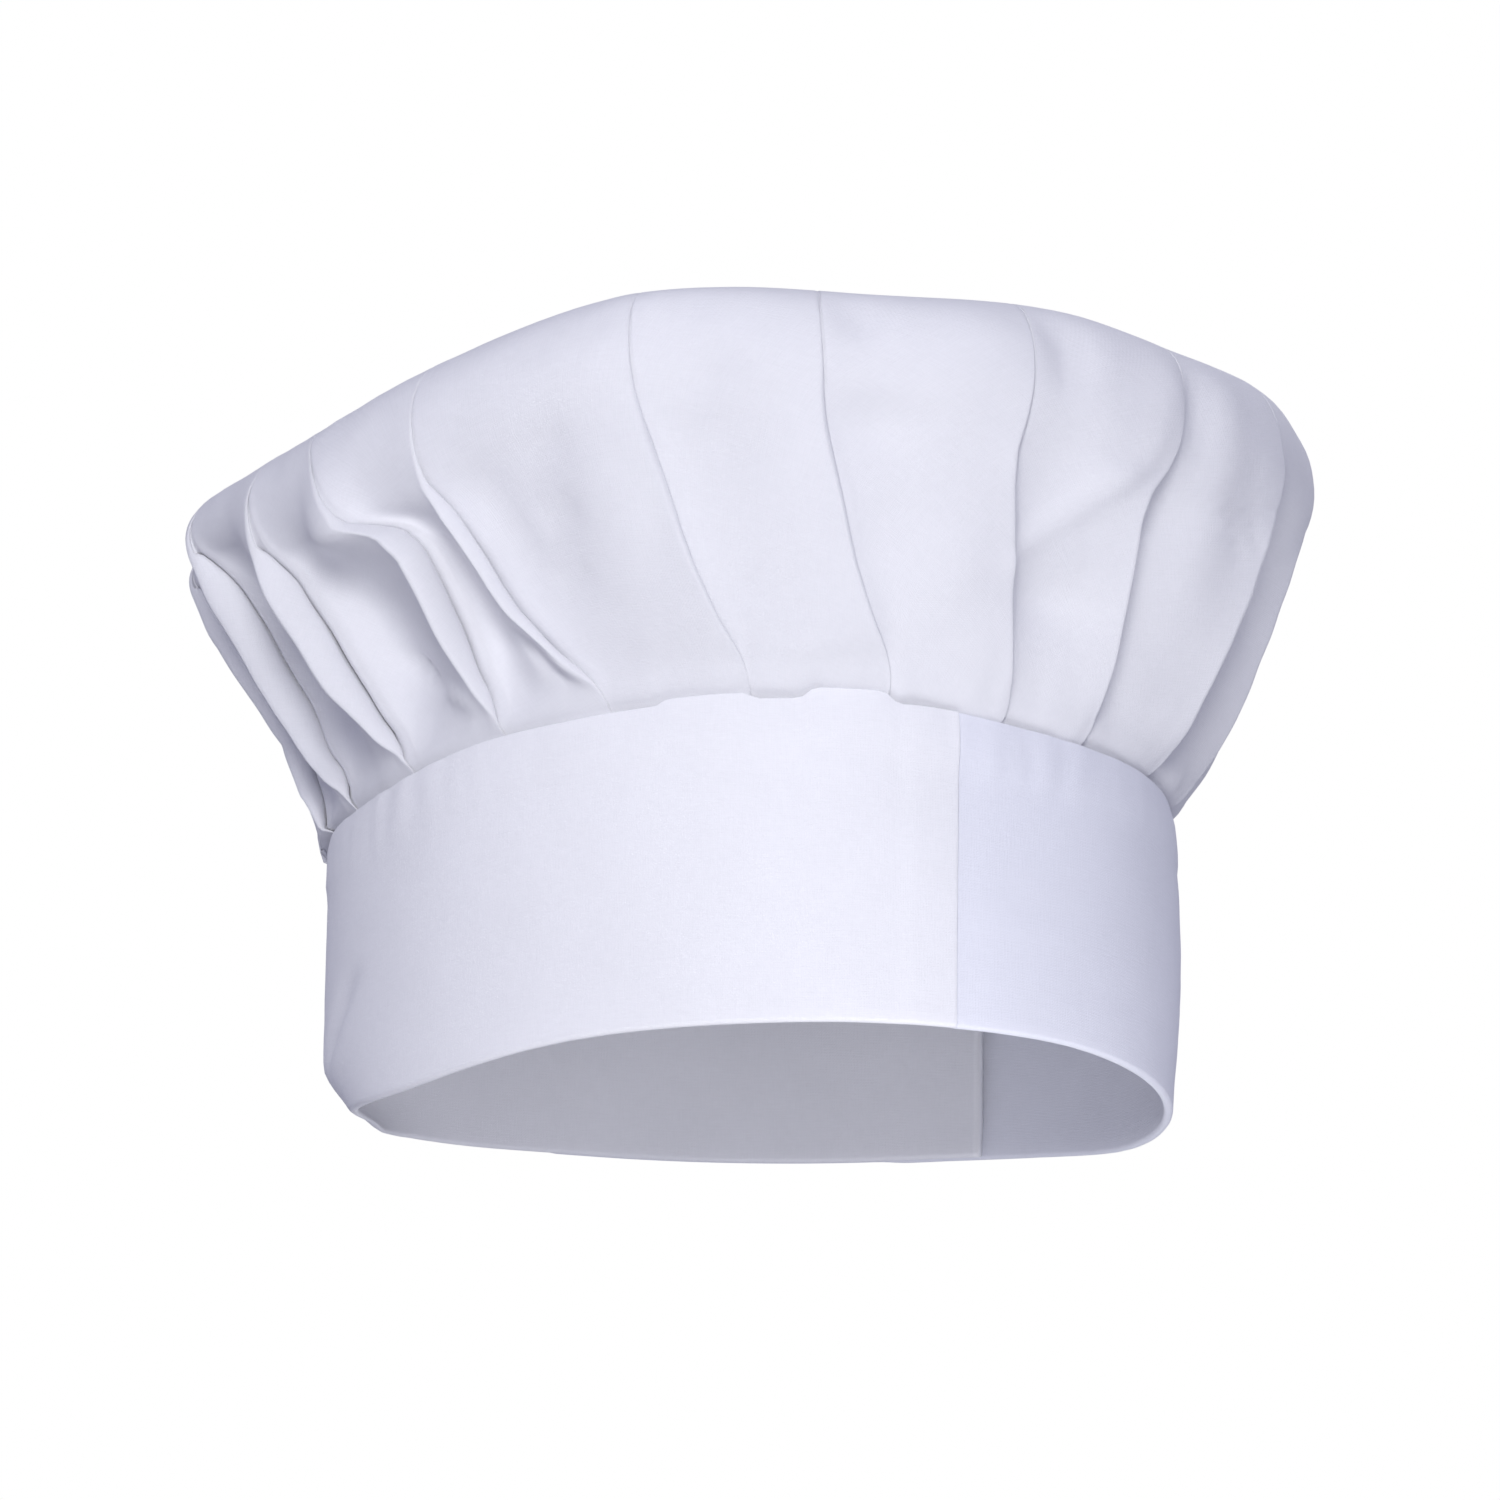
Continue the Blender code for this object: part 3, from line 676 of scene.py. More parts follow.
def crown_points():
    """Rows and points of the crown, with its pleats, creases, unevenness, gathers and slumped top."""
    rows = crown_rows()
    azimuth, offset = crown_grid(rows)
    along = np.broadcast_to(rows[:, None], azimuth.shape)
    u = progress(along)
    leaning = azimuth + slit_lean(azimuth, along)
    base = crown_base(leaning, along)
    x, y, z = np.moveaxis(base, -1, 0)
    on_wall = ease(u, 0.02, 0.15) * fall(u, 0.90, 1.0)
    soft = 0.9 * ripple(x + y, z, 21.0 * MM, 11) + 0.28 * ripple(x - y, z, 8.0 * MM, 13)
    gathers = 0.5 * ripple(np.radians(azimuth) * 0.1, u * 0.012, 4.0 * MM, 17)
    fine = 0.5 * ripple(x, y, 13.0 * MM, 23)
    offset = offset + (crease_relief(azimuth, u) + soft * MM) * on_wall
    offset = offset + gathers * MM * ease(u, 0.0, 0.03) * fall(u, 0.08, 0.25)
    offset = offset + fine * MM * ease(u, 1.0, 1.3)
    points = base + crown_normals(leaning, along) * offset[..., None]
    return rows, points + slump(azimuth, along, settled_top())


def make_crown(material):
    rows, points = crown_points()
    slit_start = points.shape[1] - SLIT_COLUMNS - 1
    closes = int(np.searchsorted(rows, SLIT_CLOSES))
    made = grid_object("crown_cloth", points, material, cloth_coordinates(points), closed=True,
                       centre=points[-1].mean(axis=0),
                       skip=lambda row, column: column >= slit_start and row < closes)
    bpy.context.view_layer.update()
    surface = BVHTree.FromObject(made, bpy.context.evaluated_depsgraph_get())
    made = thicken(made, CLOTH)
    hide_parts("crown")
    return made, surface


# Band cloth: each panel is one strip folded double at the hem, with its top edges turned in

WALL_ROWS = 30
LIP_LENGTH = 3.0 * MM
COLUMN_STEP = 1.1
FINE_GAPS = np.array([0.08, 0.16, 0.26, 0.4, 0.6])
INNER_RELIEF = 0.35         # the inner wall's share of the outer wall's relief


def strip_rows():
    """The strip's profile from the outer turned-in edge round the hem to the inner one.

    Every row says whether it is on the outer wall, which part of the profile it is on, and where on it.
    """
    half = [("lip", LIP_LENGTH), ("lip", 1.2 * MM)]
    half += [("roll", angle) for angle in (150.0, 110.0, 70.0, 30.0)]
    half += [("wall", part) for part in np.linspace(0.0, 1.0, WALL_ROWS) ** 0.9]
    half += [("hem", angle) for angle in (20.0, 55.0)]
    return [(True, *row) for row in half] + [(True, "hem", 90.0)] + [(False, *row) for row in reversed(half)]


def strip_points(azimuth, outwards, low, top, tucked):
    """Points and flat coordinates of a doubled strip. "tucked" is the depth of its turned-in edges."""
    points = []
    roll = tucked / 2
    for outer, kind, value in strip_rows():
        angle = math.radians(value)
        if kind == "lip":
            depth, height = tucked, top - value
        elif kind == "roll":
            depth, height = roll * (1.0 - math.cos(angle)), top - roll + roll * math.sin(angle)
        elif kind == "wall":
            depth, height = 0.0, top - roll + (low + MIDDLE - top + roll) * value
        else:
            depth, height = MIDDLE * (1.0 - math.cos(angle)), low + MIDDLE * (1.0 - math.sin(angle))
        relief = 0.0 if kind == "lip" else puckers(azimuth, height, top) * (1.0 if outer else INNER_RELIEF)
        depth = depth if outer else BAND_STACK - depth
        points.append(band_point(azimuth, outwards - depth + relief, height))
    points = np.array(points)
    gaps = np.linalg.norm(np.diff(points, axis=0), axis=-1).mean(axis=1)
    lengths = np.concatenate([[0.0], np.cumsum(gaps)])
    return points, np.stack(np.broadcast_arrays(arc(azimuth)[None, :], lengths[:, None]), axis=-1)


def strip_object(name, azimuth, outwards, low, top, tucked, material, close_last):
    """A doubled strip whose two walls are joined at its last column, or else at its first."""
    points, uvs = strip_points(azimuth, outwards, low, top, tucked)
    rows, columns = points.shape[:2]
    column = columns - 1 if close_last else 0
    closing = []
    for row in range(rows // 2 - 1):
        corners = (row, row + 1, rows - 2 - row, rows - 1 - row)
        face = tuple(corner * columns + column for corner in corners)
        closing.append(face if close_last else face[::-1])
    return thicken(grid_object(name, points, material, uvs, flip=True, extra=closing), CLOTH)


def edge_roll(azimuth, joint):
    """Depth by which a panel rolls in at its end, beside the joint."""
    return 0.08 * MM * (1.0 - ease(arc(np.abs(azimuth - joint)), 0.05 * MM, 0.60 * MM))


def strip_columns(start, end, fine):
    """Azimuths from start to end, with a few more close to one of them."""
    plain = np.linspace(start, end, int(round((end - start) / COLUMN_STEP)) + 1)
    return np.sort(np.concatenate([plain, fine + FINE_GAPS if fine == start else fine - FINE_GAPS]))


def make_band_main(material):
    end = FRONT_JOINT - JOINT_GAP
    azimuth = strip_columns(UNDERLAP_END, end, end)
    raised = 0.38 * MM * ease(azimuth, 19.2, 20.4)
    made = strip_object("band_main_cloth", azimuth, raised - edge_roll(azimuth, FRONT_JOINT), 0.0,
                        seam_height(azimuth), 2 * LAYER, material, False)
    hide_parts("band_main_panel")
    return made


def make_band_side(material):
    """The short panel and the tab, which are one piece of cloth. The tab's end has rounded corners."""
    start = FRONT_JOINT + JOINT_GAP
    azimuth = strip_columns(start, TAB_END, start)
    on_tab = ease(azimuth, TAB_ROOT - 4.0, TAB_ROOT + 1.0)
    recess = 0.28 * MM * fall(arc(azimuth - FRONT_JOINT), 0.0, 9.0 * MM)
    into_corner = np.maximum(TAB_CORNER - arc(TAB_END - azimuth), 0.0)
    cut = TAB_CORNER - np.sqrt(np.maximum(TAB_CORNER ** 2 - into_corner ** 2, 0.0))
    top = seam_height(azimuth) - TAB_DROP * on_tab - cut
    tucked = 2 * LAYER + (MIDDLE - 2 * LAYER) * on_tab
    made = strip_object("band_side_cloth", azimuth, panel_offset(azimuth) - recess, TAB_LIFT * on_tab + cut,
                        top, tucked, material, True)
    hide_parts("band_side_panel", "tab_cover")
    return made


def layer_sheet(name, span, outwards, low, high, thickness, material, columns=1.5, rows=12, flip=False,
                wobble=0.0):
    """One layer that follows the band. Its place and heights are numbers or functions of azimuth."""
    azimuth = np.linspace(span[0], span[1], max(2, int(abs(span[1] - span[0]) / columns)))
    outwards, low, high = ((value(azimuth) if callable(value) else np.full(azimuth.shape, value))[None, :]
                           for value in (outwards, low, high))
    height = low + (high - low) * np.linspace(0.0, 1.0, rows)[:, None]
    turns = np.broadcast_to(azimuth[None, :], height.shape)
    points = band_point(turns, outwards + wobble * ripple(arc(turns), height, 9.0 * MM, 31), height)
    uvs = np.stack([arc(turns), height], axis=-1)
    return thicken(grid_object(name, points, material, uvs, flip=flip), thickness)


def make_stiffeners(material):
    depth, foot, thickness = 0.80 * MM, 1.6 * MM, 0.3 * MM

    def under_allowance(azimuth):
        return seam_height(azimuth) - SEAM_ALLOWANCE - 2.0 * MM

    rows = (("main", (UNDERLAP_END + 1.0, FRONT_JOINT - 2.5), -depth, foot, under_allowance),
            ("side", (FRONT_JOINT + 2.5, TAB_ROOT - 5.0), lambda azimuth: panel_offset(azimuth) - depth, foot,
             under_allowance),
            ("tab", (TAB_ROOT + 5.0, TAB_END - 2.0), TAB_OFFSET - depth, 4.5 * MM,
             lambda azimuth: seam_height(azimuth) - TAB_DROP - 5.0 * MM))
    made = []
    for name, span, outwards, low, high in rows:
        made.append(layer_sheet(f"{name}_stiffener_sheet", span, outwards, low, high, thickness, material))
        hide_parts(f"{name}_stiffener")
    return made


# Small round work: stitches, hooks and loops

def round_part(line, radii, sides, verts, faces):
    """Add one closed round tube through a few points to lists of vertices and faces."""
    line = np.asarray(line, float)
    first = len(verts)
    tangent = np.gradient(line, axis=0)
    tangent /= np.linalg.norm(tangent, axis=1, keepdims=True)
    helper = np.array([0.0, 0.0, 1.0]) if abs(tangent[0][2]) < 0.8 else np.array([1.0, 0.0, 0.0])
    across = np.cross(tangent, helper)
    across /= np.linalg.norm(across, axis=1, keepdims=True)
    other = np.cross(tangent, across)
    for point, a, b, radius in zip(line, across, other, radii):
        for side in range(sides):
            angle = 2 * math.pi * side / sides
            verts.append(point + (a * math.cos(angle) + b * math.sin(angle)) * radius)
    for ring in range(len(line) - 1):
        for side in range(sides):
            after = (side + 1) % sides
            low, high = first + ring * sides, first + (ring + 1) * sides
            faces.append((low + side, low + after, high + after, high + side))
    faces.append(tuple(first + side for side in reversed(range(sides))))
    faces.append(tuple(first + (len(line) - 1) * sides + side for side in range(sides)))


STITCH_PITCH = 2.9 * MM
STITCH_LENGTH = 2.3 * MM
STITCH_RADIUS = 0.17 * MM
# Place along a stitch, lift and radius in stitch radii: both ends dip into the cloth
STITCH_SHAPE = ((0.0, -1.2, 0.6), (0.14, 0.1, 1.0), (0.35, 0.6, 1.05), (0.65, 0.6, 1.05), (0.86, 0.1, 1.0),
                (1.0, -1.2, 0.6))


def stitches(name, runs, material):
    """A row of stitches along each run, which is (points, directions away from the cloth)."""
    verts, faces = [], []
    for line, away in runs:
        lengths = run_lengths(line)
        for index in range(int(lengths[-1] / STITCH_PITCH)):
            start = index * STITCH_PITCH + (STITCH_PITCH - STITCH_LENGTH) / 2
            points = []
            for part, lift, _ in STITCH_SHAPE:
                place = start + part * STITCH_LENGTH
                point, normal = (np.array([np.interp(place, lengths, values[:, axis]) for axis in range(3)])
                                 for values in (line, away))
                points.append(point + normal * lift * STITCH_RADIUS)
            round_part(points, [wide * STITCH_RADIUS for _, _, wide in STITCH_SHAPE], 6, verts, faces)
    return mesh_object(name, verts, faces, material)


def head_run(azimuth, outwards, height, facing):
    """A run of stitching on the band, facing outwards (1) or into the hat (-1)."""
    azimuth, height = np.broadcast_arrays(azimuth, height)
    angle = np.radians(azimuth)
    away = np.stack([np.sin(angle), -np.cos(angle), np.zeros(angle.shape)], axis=-1)
    return band_point(azimuth, outwards, height), away * facing


def box_run(span, outwards, facing):
    """Four runs in a box, a little inside a tape's edges."""
    start, end = span[0] + 1.5, span[1] - 1.5
    low, high = TAPE_LOW + 2.5 * MM, TAPE_HIGH - 2.5 * MM
    across, upright = np.linspace(start, end, 40), np.linspace(low, high, 12)
    runs = [head_run(across, outwards, height, facing) for height in (low, high)]
    return runs + [head_run(azimuth, outwards, upright, facing) for azimuth in (start, end)]


def make_stitching(thread):
    """All lines of sewing, as one list for each body."""
    def sewn(name, node, runs):
        made = stitches(name, runs, thread)
        if node:
            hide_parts(node)
        return made

    inside = -BAND_STACK - 0.12 * MM
    loop = sewn("loop_tape_stitches", "loop_tape_stitching",
                box_run(LOOP_SPAN, inside, -1) + box_run(LOOP_SPAN, 0.86 * MM, 1))
    hook = sewn("hook_tape_stitches", "hook_tape_stitching", box_run(HOOK_SPAN, TAB_OFFSET + 0.22 * MM, 1))
    around = np.linspace(-179.0, TAB_ROOT - 1.0, 500)
    seam = sewn("crown_seam_stitches", "crown_seam_thread",
                [head_run(around, panel_offset(around) + inside, seam_height(around) - 2.0 * MM, -1)])
    up = np.linspace(3.0 * MM, seam_height(FRONT_JOINT) - SEAM_ALLOWANCE, 20)
    joint = sewn("front_joint_stitches", "front_joint_thread", [head_run(FRONT_JOINT, -MIDDLE, up, 1)])
    across = np.linspace(LABEL_SPAN[0] + 0.8, LABEL_SPAN[1] - 0.8, 20)
    label = sewn("label_stitches", "label_stitching",
                 [head_run(across, -BAND_STACK - 0.62 * MM, LABEL_HIGH - 1.6 * MM, -1)])

    edge, near_end, tab_out = 2.2 * MM, TAB_END - 1.4, TAB_OFFSET + 0.15 * MM

    def tab_run(azimuth, height):
        relief = puckers(azimuth, height, seam_height(azimuth) - TAB_DROP)
        return head_run(azimuth, tab_out + relief, height, 1)

    along = np.linspace(TAB_ROOT + 6.0, near_end, 80)
    upright = np.linspace(TAB_LIFT + 3.0 * MM, seam_height(TAB_END) - TAB_DROP - 3.0 * MM, 30)
    tab_edge = sewn("tab_edge_stitches", None, [
        tab_run(along, np.full(along.shape, TAB_LIFT + edge)),
        tab_run(along, seam_height(along) - TAB_DROP - edge),
        tab_run(np.full(upright.shape, near_end), upright)])
    return [loop, seam, joint, label], [hook, tab_edge]


def tape_strip(name, node, span, outwards, material, flip):
    made = layer_sheet(name, span, outwards, TAPE_LOW, TAPE_HIGH, 0.42 * MM, material, columns=0.8, rows=20,
                       flip=flip, wobble=0.03 * MM)
    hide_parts(node)
    return made


LOOP_COUNT = 1500
LOOP_BASE = 0.72 * MM
LOOP_THREAD = 0.045 * MM
HOOK_PITCH = 1.35 * MM
HOOK_BASE = 1.78 * MM


def make_loop_tape(material, nap_material):
    base = tape_strip("loop_tape_strip", "loop_tape", LOOP_SPAN, 0.75 * MM, material, False)
    random = np.random.default_rng(5)
    verts, faces = [], []
    for _ in range(LOOP_COUNT):
        azimuth = random.uniform(LOOP_SPAN[0] + 0.6, LOOP_SPAN[1] - 0.6)
        height = random.uniform(TAPE_LOW + 1.0 * MM, TAPE_HIGH - 1.0 * MM)
        spread, turn = random.uniform(0.3, 0.75) * MM, random.uniform(0, math.pi)
        tall = random.uniform(0.2, 0.36) * MM
        line = []
        for part in (0.0, 0.2, 0.5, 0.8, 1.0):
            sideways = (part - 0.5) * spread
            line.append(band_point(azimuth + degrees_of(sideways * math.cos(turn)),
                                   LOOP_BASE + tall * math.sin(math.pi * part),
                                   height + sideways * math.sin(turn)))
        round_part(line, [LOOP_THREAD] * len(line), 4, verts, faces)
    return base, mesh_object("loop_tape_nap", verts, faces, nap_material)


def make_hook_tape(material):
    base = tape_strip("hook_tape_strip", "hook_tape", HOOK_SPAN, HOOK_BASE, material, True)
    verts, faces = [], []
    step = degrees_of(HOOK_PITCH)
    radii = [radius * MM for radius in (0.08, 0.07, 0.07, 0.065, 0.05)]
    for row in range(int((TAPE_HIGH - TAPE_LOW - 3.0 * MM) / HOOK_PITCH)):
        height = TAPE_LOW + 1.8 * MM + HOOK_PITCH * row
        lean = 0.22 * (1 if row % 2 else -1)
        shape = ((0.0, -0.05), (0.0, 0.22), (0.06, 0.38), (lean * 0.9, 0.42), (lean * 1.25, 0.32))
        for column in range(int((HOOK_SPAN[1] - HOOK_SPAN[0] - 1.6) / step)):
            azimuth = HOOK_SPAN[0] + 1.0 + step * (column + 0.5 * (row % 2))
            line = [band_point(azimuth + degrees_of(sideways * MM), HOOK_BASE - drop * MM, height)
                    for sideways, drop in shape]
            round_part(line, radii, 5, verts, faces)
    return base, mesh_object("hook_tape_hooks", verts, faces, material)


def make_label(material):
    """A blank satin label: its top edge is folded under and sewn down, and its foot lifts a little."""
    azimuth = np.linspace(LABEL_SPAN[0], LABEL_SPAN[1], 24)[None, :]
    front = np.linspace(0.3, (LABEL_HIGH - LABEL_LOW) / MM, 20)
    drop = np.array([3.0, 1.5, 0.3, 0.0, *front])[:, None]
    under = np.array([0.0, 0.0, 0.05, 0.2] + [0.38] * len(front))[:, None]
    lift = unit((drop - 9.0) / 9.0) ** 2
    wave = 0.25 * np.abs(np.sin(np.linspace(0.0, 5.0, 24)))[None, :] * lift
    depth = BAND_STACK + (0.18 + under + 1.1 * lift + wave) * MM
    turns, height = np.broadcast_arrays(azimuth, LABEL_HIGH - drop * MM)
    uvs = np.stack([arc(turns), height], axis=-1)
    points = band_point(turns, -depth, height)
    made = thicken(grid_object("size_label_ribbon", points, material, uvs), 0.12 * MM)
    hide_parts("size_label")
    return made


BINDING_WIDTH = 4.8 * MM    # of each half, folded
BINDING_GAP = 0.16 * MM


def make_binding(surface, material):
    """Bias tape folded over the edge of the slit, up one side, round its top and down the other."""
    sides = np.linspace(1.02, SLIT_CLOSES, 34)
    corner = np.radians(np.linspace(0.0, 90.0, 6))[1:]
    path = [(SLIT[1], along, 1.0, 0.0) for along in sides]
    path += [(SLIT[1], SLIT_CLOSES, math.cos(angle), math.sin(angle)) for angle in corner]
    path += [(SLIT[0], SLIT_CLOSES, -math.cos(angle), math.sin(angle)) for angle in corner[::-1]]
    path += [(SLIT[0], along, -1.0, 0.0) for along in sides[::-1]]
    # Share of the half's width from the slit's edge, and face of the cloth: outer 1, edge 0, inner -1
    rows = ((1.0, -1), (0.5, -1), (0.1, -1), (-0.06, 0), (0.1, 1), (0.5, 1), (1.0, 1))
    gaps = {1: BINDING_GAP, 0: -CLOTH / 2, -1: -CLOTH - BINDING_GAP}
    points = np.zeros((len(rows), len(path), 3))
    for column, (azimuth, along, turn_share, rise_share) in enumerate(path):
        lean = float(slit_lean(azimuth, along))
        for row, (share, face) in enumerate(rows):
            away = share * BINDING_WIDTH
            turned = azimuth + math.degrees(away * turn_share / (HALF_WIDTH + 10.0 * MM))
            base = Vector(crown_base(turned + lean, along + away * rise_share / (95.0 * MM)))
            place, normal, _, _ = surface.find_nearest(base)
            flat = base - normal * (base - place).dot(normal)
            points[row, column] = flat + normal * gaps[face]
    for _ in range(3):
        points[:, 1:-1] = points[:, 1:-1] * 0.5 + 0.25 * (points[:, :-2] + points[:, 2:])
    lengths = run_lengths(points[3])
    across = np.array([share * BINDING_WIDTH * (face or 1) for share, face in rows])
    # The tape is cut on the bias, so its weave lies at 45 degrees
    flat = np.stack(np.broadcast_arrays(lengths[None, :], across[:, None]), axis=-1) * math.sqrt(0.5)
    uvs = np.stack([flat[..., 0] + flat[..., 1], flat[..., 1] - flat[..., 0]], axis=-1)
    made = thicken(grid_object("slit_binding_tape", points, material, uvs), 0.14 * MM)
    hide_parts("slit_binding")
    return made


# Materials

def add_node(tree, kind, inputs, **settings):
    """A new shader node, whose inputs are numbers, colours or other nodes' sockets."""
    node = tree.nodes.new("ShaderNode" + kind)
    for name, value in settings.items():
        setattr(node, name, value)
    for name, value in inputs.items():
        if isinstance(value, bpy.types.NodeSocket):
            tree.links.new(value, node.inputs[name])
        else:
            node.inputs[name].default_value = value
    return node


def math_node(tree, operation, *values):
    return add_node(tree, "Math", dict(enumerate(values)), operation=operation).outputs[0]


def weighted(tree, *pairs):
    """Sum of sockets, each times its weight."""
    total, *rest = (math_node(tree, "MULTIPLY", socket, weight) for socket, weight in pairs)
    for part in rest:
        total = math_node(tree, "ADD", total, part)
    return total


def noise_node(tree, vector, scale, detail, stretch=None):
    if stretch is not None:
        vector = add_node(tree, "Mapping", {"Scale": stretch, "Vector": vector}).outputs["Vector"]
    return add_node(tree, "TexNoise", {"Scale": scale, "Detail": detail, "Vector": vector}).outputs["Fac"]


def bump_node(tree, height, distance, strength, **under):
    inputs = {"Distance": distance, "Strength": strength, "Height": height, **under}
    return add_node(tree, "Bump", inputs).outputs["Normal"]


def finish(name, colour, roughness, sheen, build):
    """A material from what "build" returns: the tone and its range, darkest and lightest share of the colour,
    the normal, and the value that roughness follows with how far it strays."""
    made = bpy.data.materials.new(name)
    made.use_nodes = True
    tree = made.node_tree
    shader = tree.nodes["Principled BSDF"]
    for socket, value in (("Base Color", (*colour, 1.0)), ("Roughness", roughness), ("Sheen Weight", sheen),
                          ("Sheen Roughness", 0.5)):
        shader.inputs[socket].default_value = value
    tone, tone_range, shares, normal, rough, stray = build(tree)
    ramp = add_node(tree, "ValToRGB", {"Fac": tone})
    for element, place, share in zip(ramp.color_ramp.elements, tone_range, shares):
        element.position = place
        element.color = (*(min(1.0, channel * share) for channel in colour), 1.0)
    spread = add_node(tree, "MapRange", {"Value": rough, "To Min": max(0.05, roughness - stray),
                                         "To Max": min(1.0, roughness + stray)})
    for socket, value in (("Base Color", ramp.outputs["Color"]), ("Normal", normal),
                          ("Roughness", spread.outputs["Result"])):
        tree.links.new(value, shader.inputs[socket])
    return made


def woven(name, colour, roughness=0.82, sheen=0.12, pitch=0.36 * MM, relief=0.5):
    """Plain weave in flat cloth coordinates: threads over and under, slubs, and a soft change of tone."""
    def build(tree):
        flat = add_node(tree, "UVMap", {}, uv_map="cloth").outputs["UV"]
        threads = add_node(tree, "VectorMath", {0: flat, "Scale": 1.0 / pitch}, operation="SCALE").outputs[0]
        parts = add_node(tree, "SeparateXYZ", {0: threads})
        warp, weft = (
            math_node(tree, "ABSOLUTE", math_node(tree, "SINE", math_node(tree, "MULTIPLY", part, math.pi)))
            for part in (parts.outputs["X"], parts.outputs["Y"]))
        checker = add_node(tree, "TexChecker", {"Scale": 1.0, "Vector": threads}).outputs["Fac"]
        over = add_node(tree, "Mix", {"Factor": checker, "A": warp, "B": weft}).outputs["Result"]
        slubs = math_node(tree, "ADD", noise_node(tree, flat, 1.0, 4.0, (260.0, 2600.0, 1.0)),
                          noise_node(tree, flat, 1.0, 4.0, (2600.0, 260.0, 1.0)))
        tone = noise_node(tree, add_node(tree, "TexCoord", {}).outputs["Object"], 26.0, 5.0)
        weave = bump_node(tree, over, 0.05 * MM, relief)
        normal = bump_node(tree, slubs, 0.12 * MM, 0.45, Normal=weave)
        mottled = weighted(tree, (slubs, 0.3), (tone, 0.55), (over, 0.12))
        return mottled, (0.42, 0.82), (0.9545, 1.035), normal, tone, 0.07
    return finish(name, colour, roughness, sheen, build)


def fibrous(name, colour, roughness, size, relief, sheen=0.0, stretch=(1.0, 1.0, 1.0)):
    """Felted or twisted fibres: fine bump and a mottled tone from the object's own coordinates."""
    def build(tree):
        place = add_node(tree, "TexCoord", {}).outputs["Object"]
        fine = noise_node(tree, place, 1.0 / size, 5.0, stretch)
        broad = noise_node(tree, place, 0.08 / size, 2.0)
        mottled = weighted(tree, (fine, 0.6), (broad, 0.4))
        return mottled, (0.35, 0.65), (0.9, 1.05), bump_node(tree, fine, relief, 0.6), fine, 0.1
    return finish(name, colour, roughness, sheen, build)


# Stage

def make_camera():
    camera = bpy.data.cameras.new("camera")
    camera.lens = FOCAL_LENGTH
    camera.sensor_width = SENSOR
    camera.clip_start = 0.01
    camera.clip_end = 20.0
    made = link("camera", camera)
    look = (CAMERA_AIM - CAMERA_PLACE).to_track_quat("-Z", "Y").to_matrix().to_4x4()
    roll = Matrix.Rotation(math.radians(CAMERA_ROLL), 4, "Z")
    made.matrix_world = Matrix.Translation(CAMERA_PLACE) @ look @ roll
    bpy.context.scene.camera = made


def area_light(name, place, aim, size, power):
    light = bpy.data.lights.new(name, "AREA")
    light.shape = "DISK"
    light.size = size
    light.energy = power
    made = link(name, light)
    made.location = place
    made.rotation_euler = (Vector(aim) - Vector(place)).to_track_quat("-Z", "Y").to_euler()
    made.visible_camera = False


def make_world():
    """White as the camera sees it, and a dimmer, cooler light on the hat."""
    world = bpy.data.worlds.new("studio")
    bpy.context.scene.world = world
    world.use_nodes = True
    tree = world.node_tree
    seen = add_node(tree, "LightPath", {}).outputs["Is Camera Ray"]
    colour = add_node(tree, "Mix", {"Factor": seen, "A": (*AMBIENT, 1.0), "B": (1.0, 1.0, 1.0, 1.0)},
                      data_type="RGBA")
    tree.links.new(colour.outputs["Result"], tree.nodes["Background"].inputs["Color"])
    bpy.context.scene.view_settings.view_transform = "Standard"


def make_floor():
    corners = [(x * FLOOR_HALF, y * FLOOR_HALF, FLOOR_LEVEL) for x, y in ((-1, -1), (1, -1), (1, 1), (-1, 1))]
    mesh = bpy.data.meshes.new("floor")
    mesh.from_pydata(corners, [], [(0, 1, 2, 3)])
    floor = link("floor", mesh)
    mesh.materials.append(fibrous("floor_paint", (0.66, 0.66, 0.67), 0.7, 4.0 * MM, 0.05 * MM))


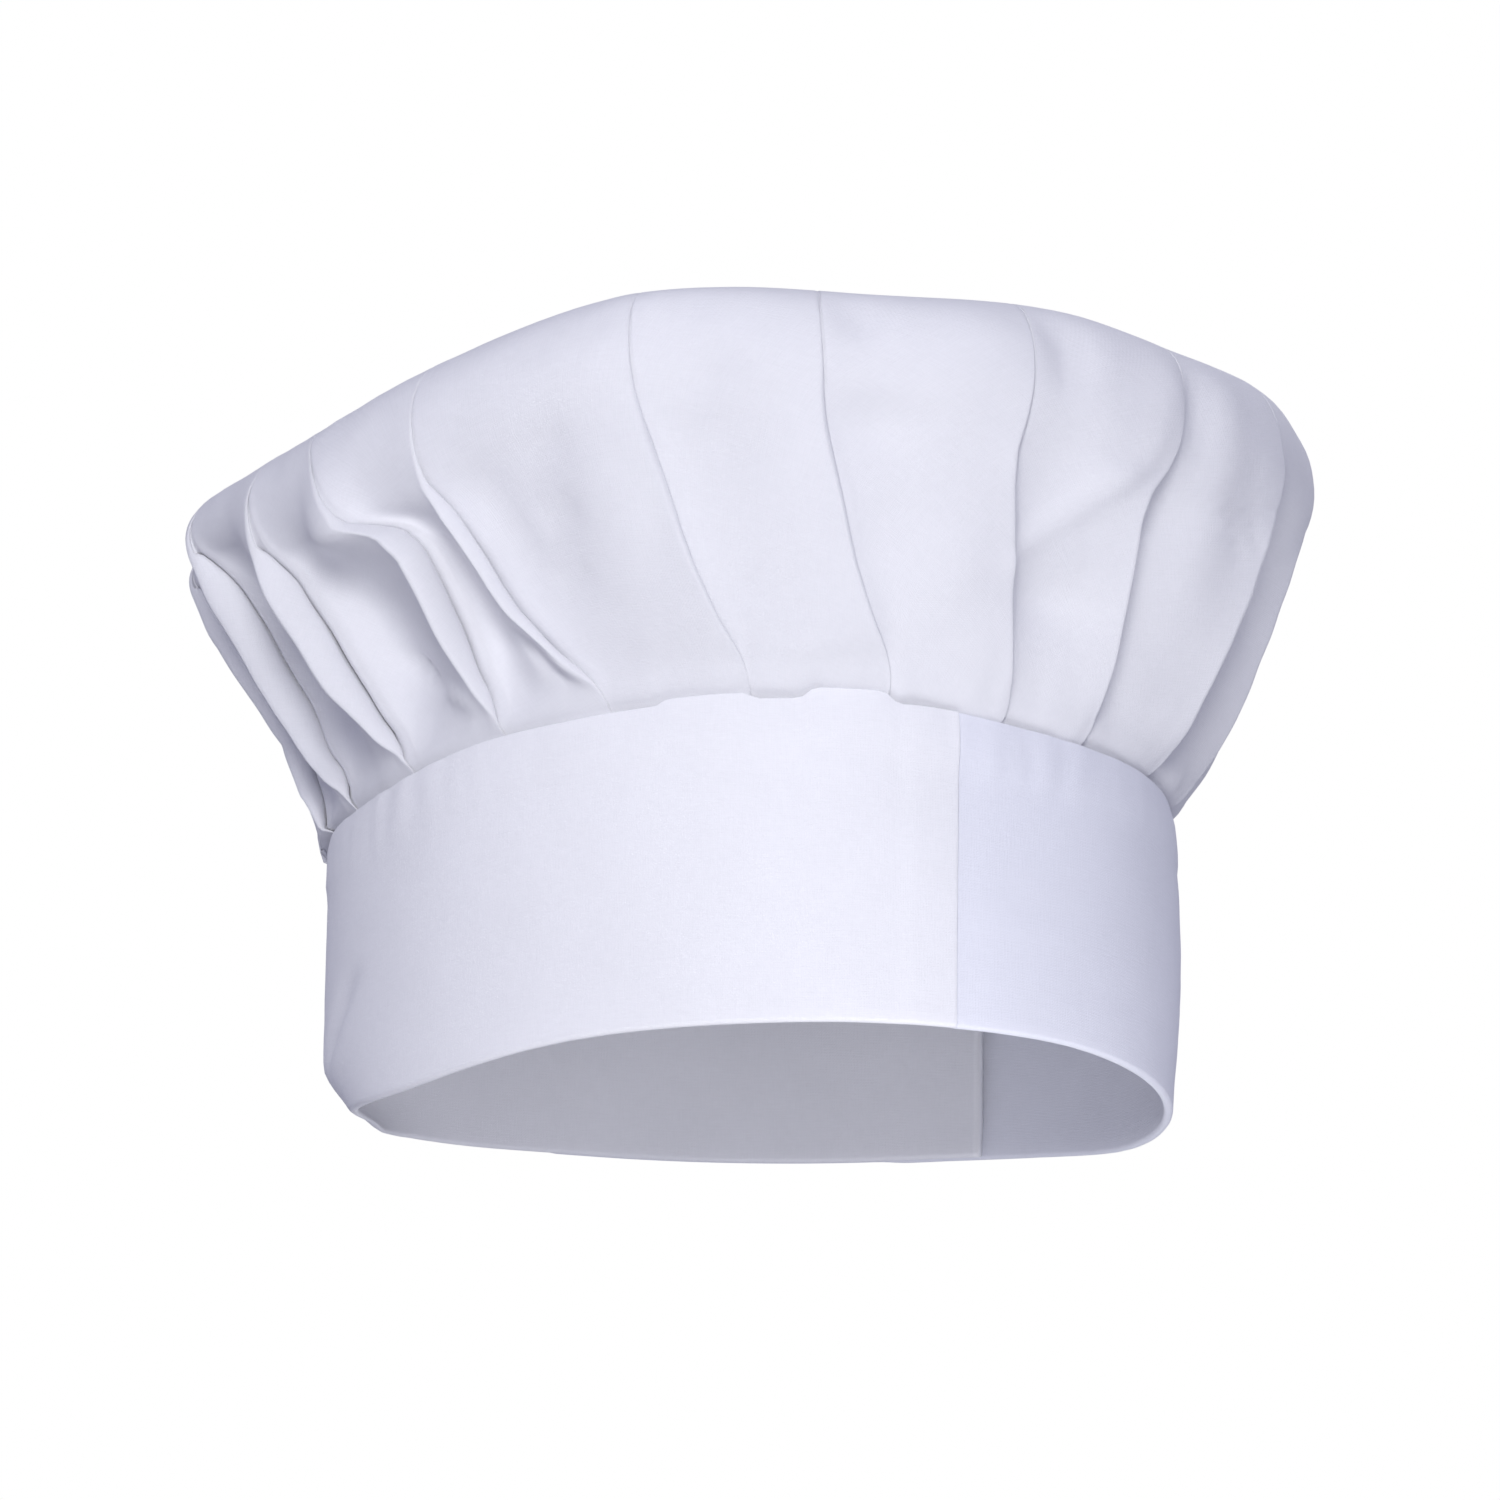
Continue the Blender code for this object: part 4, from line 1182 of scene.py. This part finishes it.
make_camera()
make_world()
area_light("key", (-0.05, -1.5, 0.24), (0, 0, 0.08), 0.5, 12.4)
area_light("inside", (0.07, -0.10, -0.135), (0, 0.09, 0.03), 0.1, 0.145)
area_light("back", (0.7, 1.7, 1.1), (0, 0, 0.08), 1.2, 7.0)
make_floor()

# Painted shade: the side panel's poplin is a slightly bluer, darker copy of the main panel's, so the band
# shows darker beyond the front joint
crown_poplin = woven("crown_poplin", (0.805, 0.805, 0.84))
band_poplin = woven("band_poplin", (0.85, 0.85, 0.885), roughness=0.78, relief=0.4)
side_poplin_painted_shade = woven("side_poplin_painted_shade", (0.795, 0.805, 0.88), roughness=0.78, relief=0.4)
bias_cotton = woven("bias_cotton", (0.78, 0.78, 0.85), pitch=0.42 * MM)
interfacing = fibrous("interfacing", (0.74, 0.74, 0.72), 0.95, 0.8 * MM, 0.08 * MM)
thread = fibrous("sewing_thread", (0.86, 0.86, 0.90), 0.6, 0.15 * MM, 0.03 * MM, sheen=0.2,
                 stretch=(1.0, 1.0, 2.0))
loop_weave = woven("loop_backing", (0.76, 0.76, 0.80), pitch=0.6 * MM, relief=0.7)
nap = fibrous("loop_nap", (0.82, 0.82, 0.86), 0.9, 0.3 * MM, 0.03 * MM, sheen=0.3)
nylon = fibrous("hook_nylon", (0.80, 0.80, 0.84), 0.38, 0.5 * MM, 0.02 * MM)
satin = woven("label_satin", (0.84, 0.84, 0.87), roughness=0.36, sheen=0.1, pitch=0.18 * MM, relief=0.35)

crown, surface = make_crown(crown_poplin)
binding = make_binding(surface, bias_cotton)
band_main = make_band_main(band_poplin)
# The side panel gets the darker poplin, which is painted shade
band_side = make_band_side(side_poplin_painted_shade)
stiffeners = make_stiffeners(interfacing)
hat_sewing, tab_sewing = make_stitching(thread)
loop_tape, loop_nap = make_loop_tape(loop_weave, nap)
hook_tape, hooks = make_hook_tape(nylon)
label = make_label(satin)

for piece in [crown, binding, band_main, *stiffeners[:2], loop_tape, loop_nap, label] + hat_sewing:
    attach(piece, "hat")
for piece in [stiffeners[2], hook_tape, hooks] + tab_sewing:
    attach(piece, "tab")
bend_start = on_head(TAB_ROOT - 4.0, TAB_OFFSET, 0.0)
bend_end = on_head(TAB_ROOT + 4.0, TAB_OFFSET, 0.0)
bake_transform(band_side)
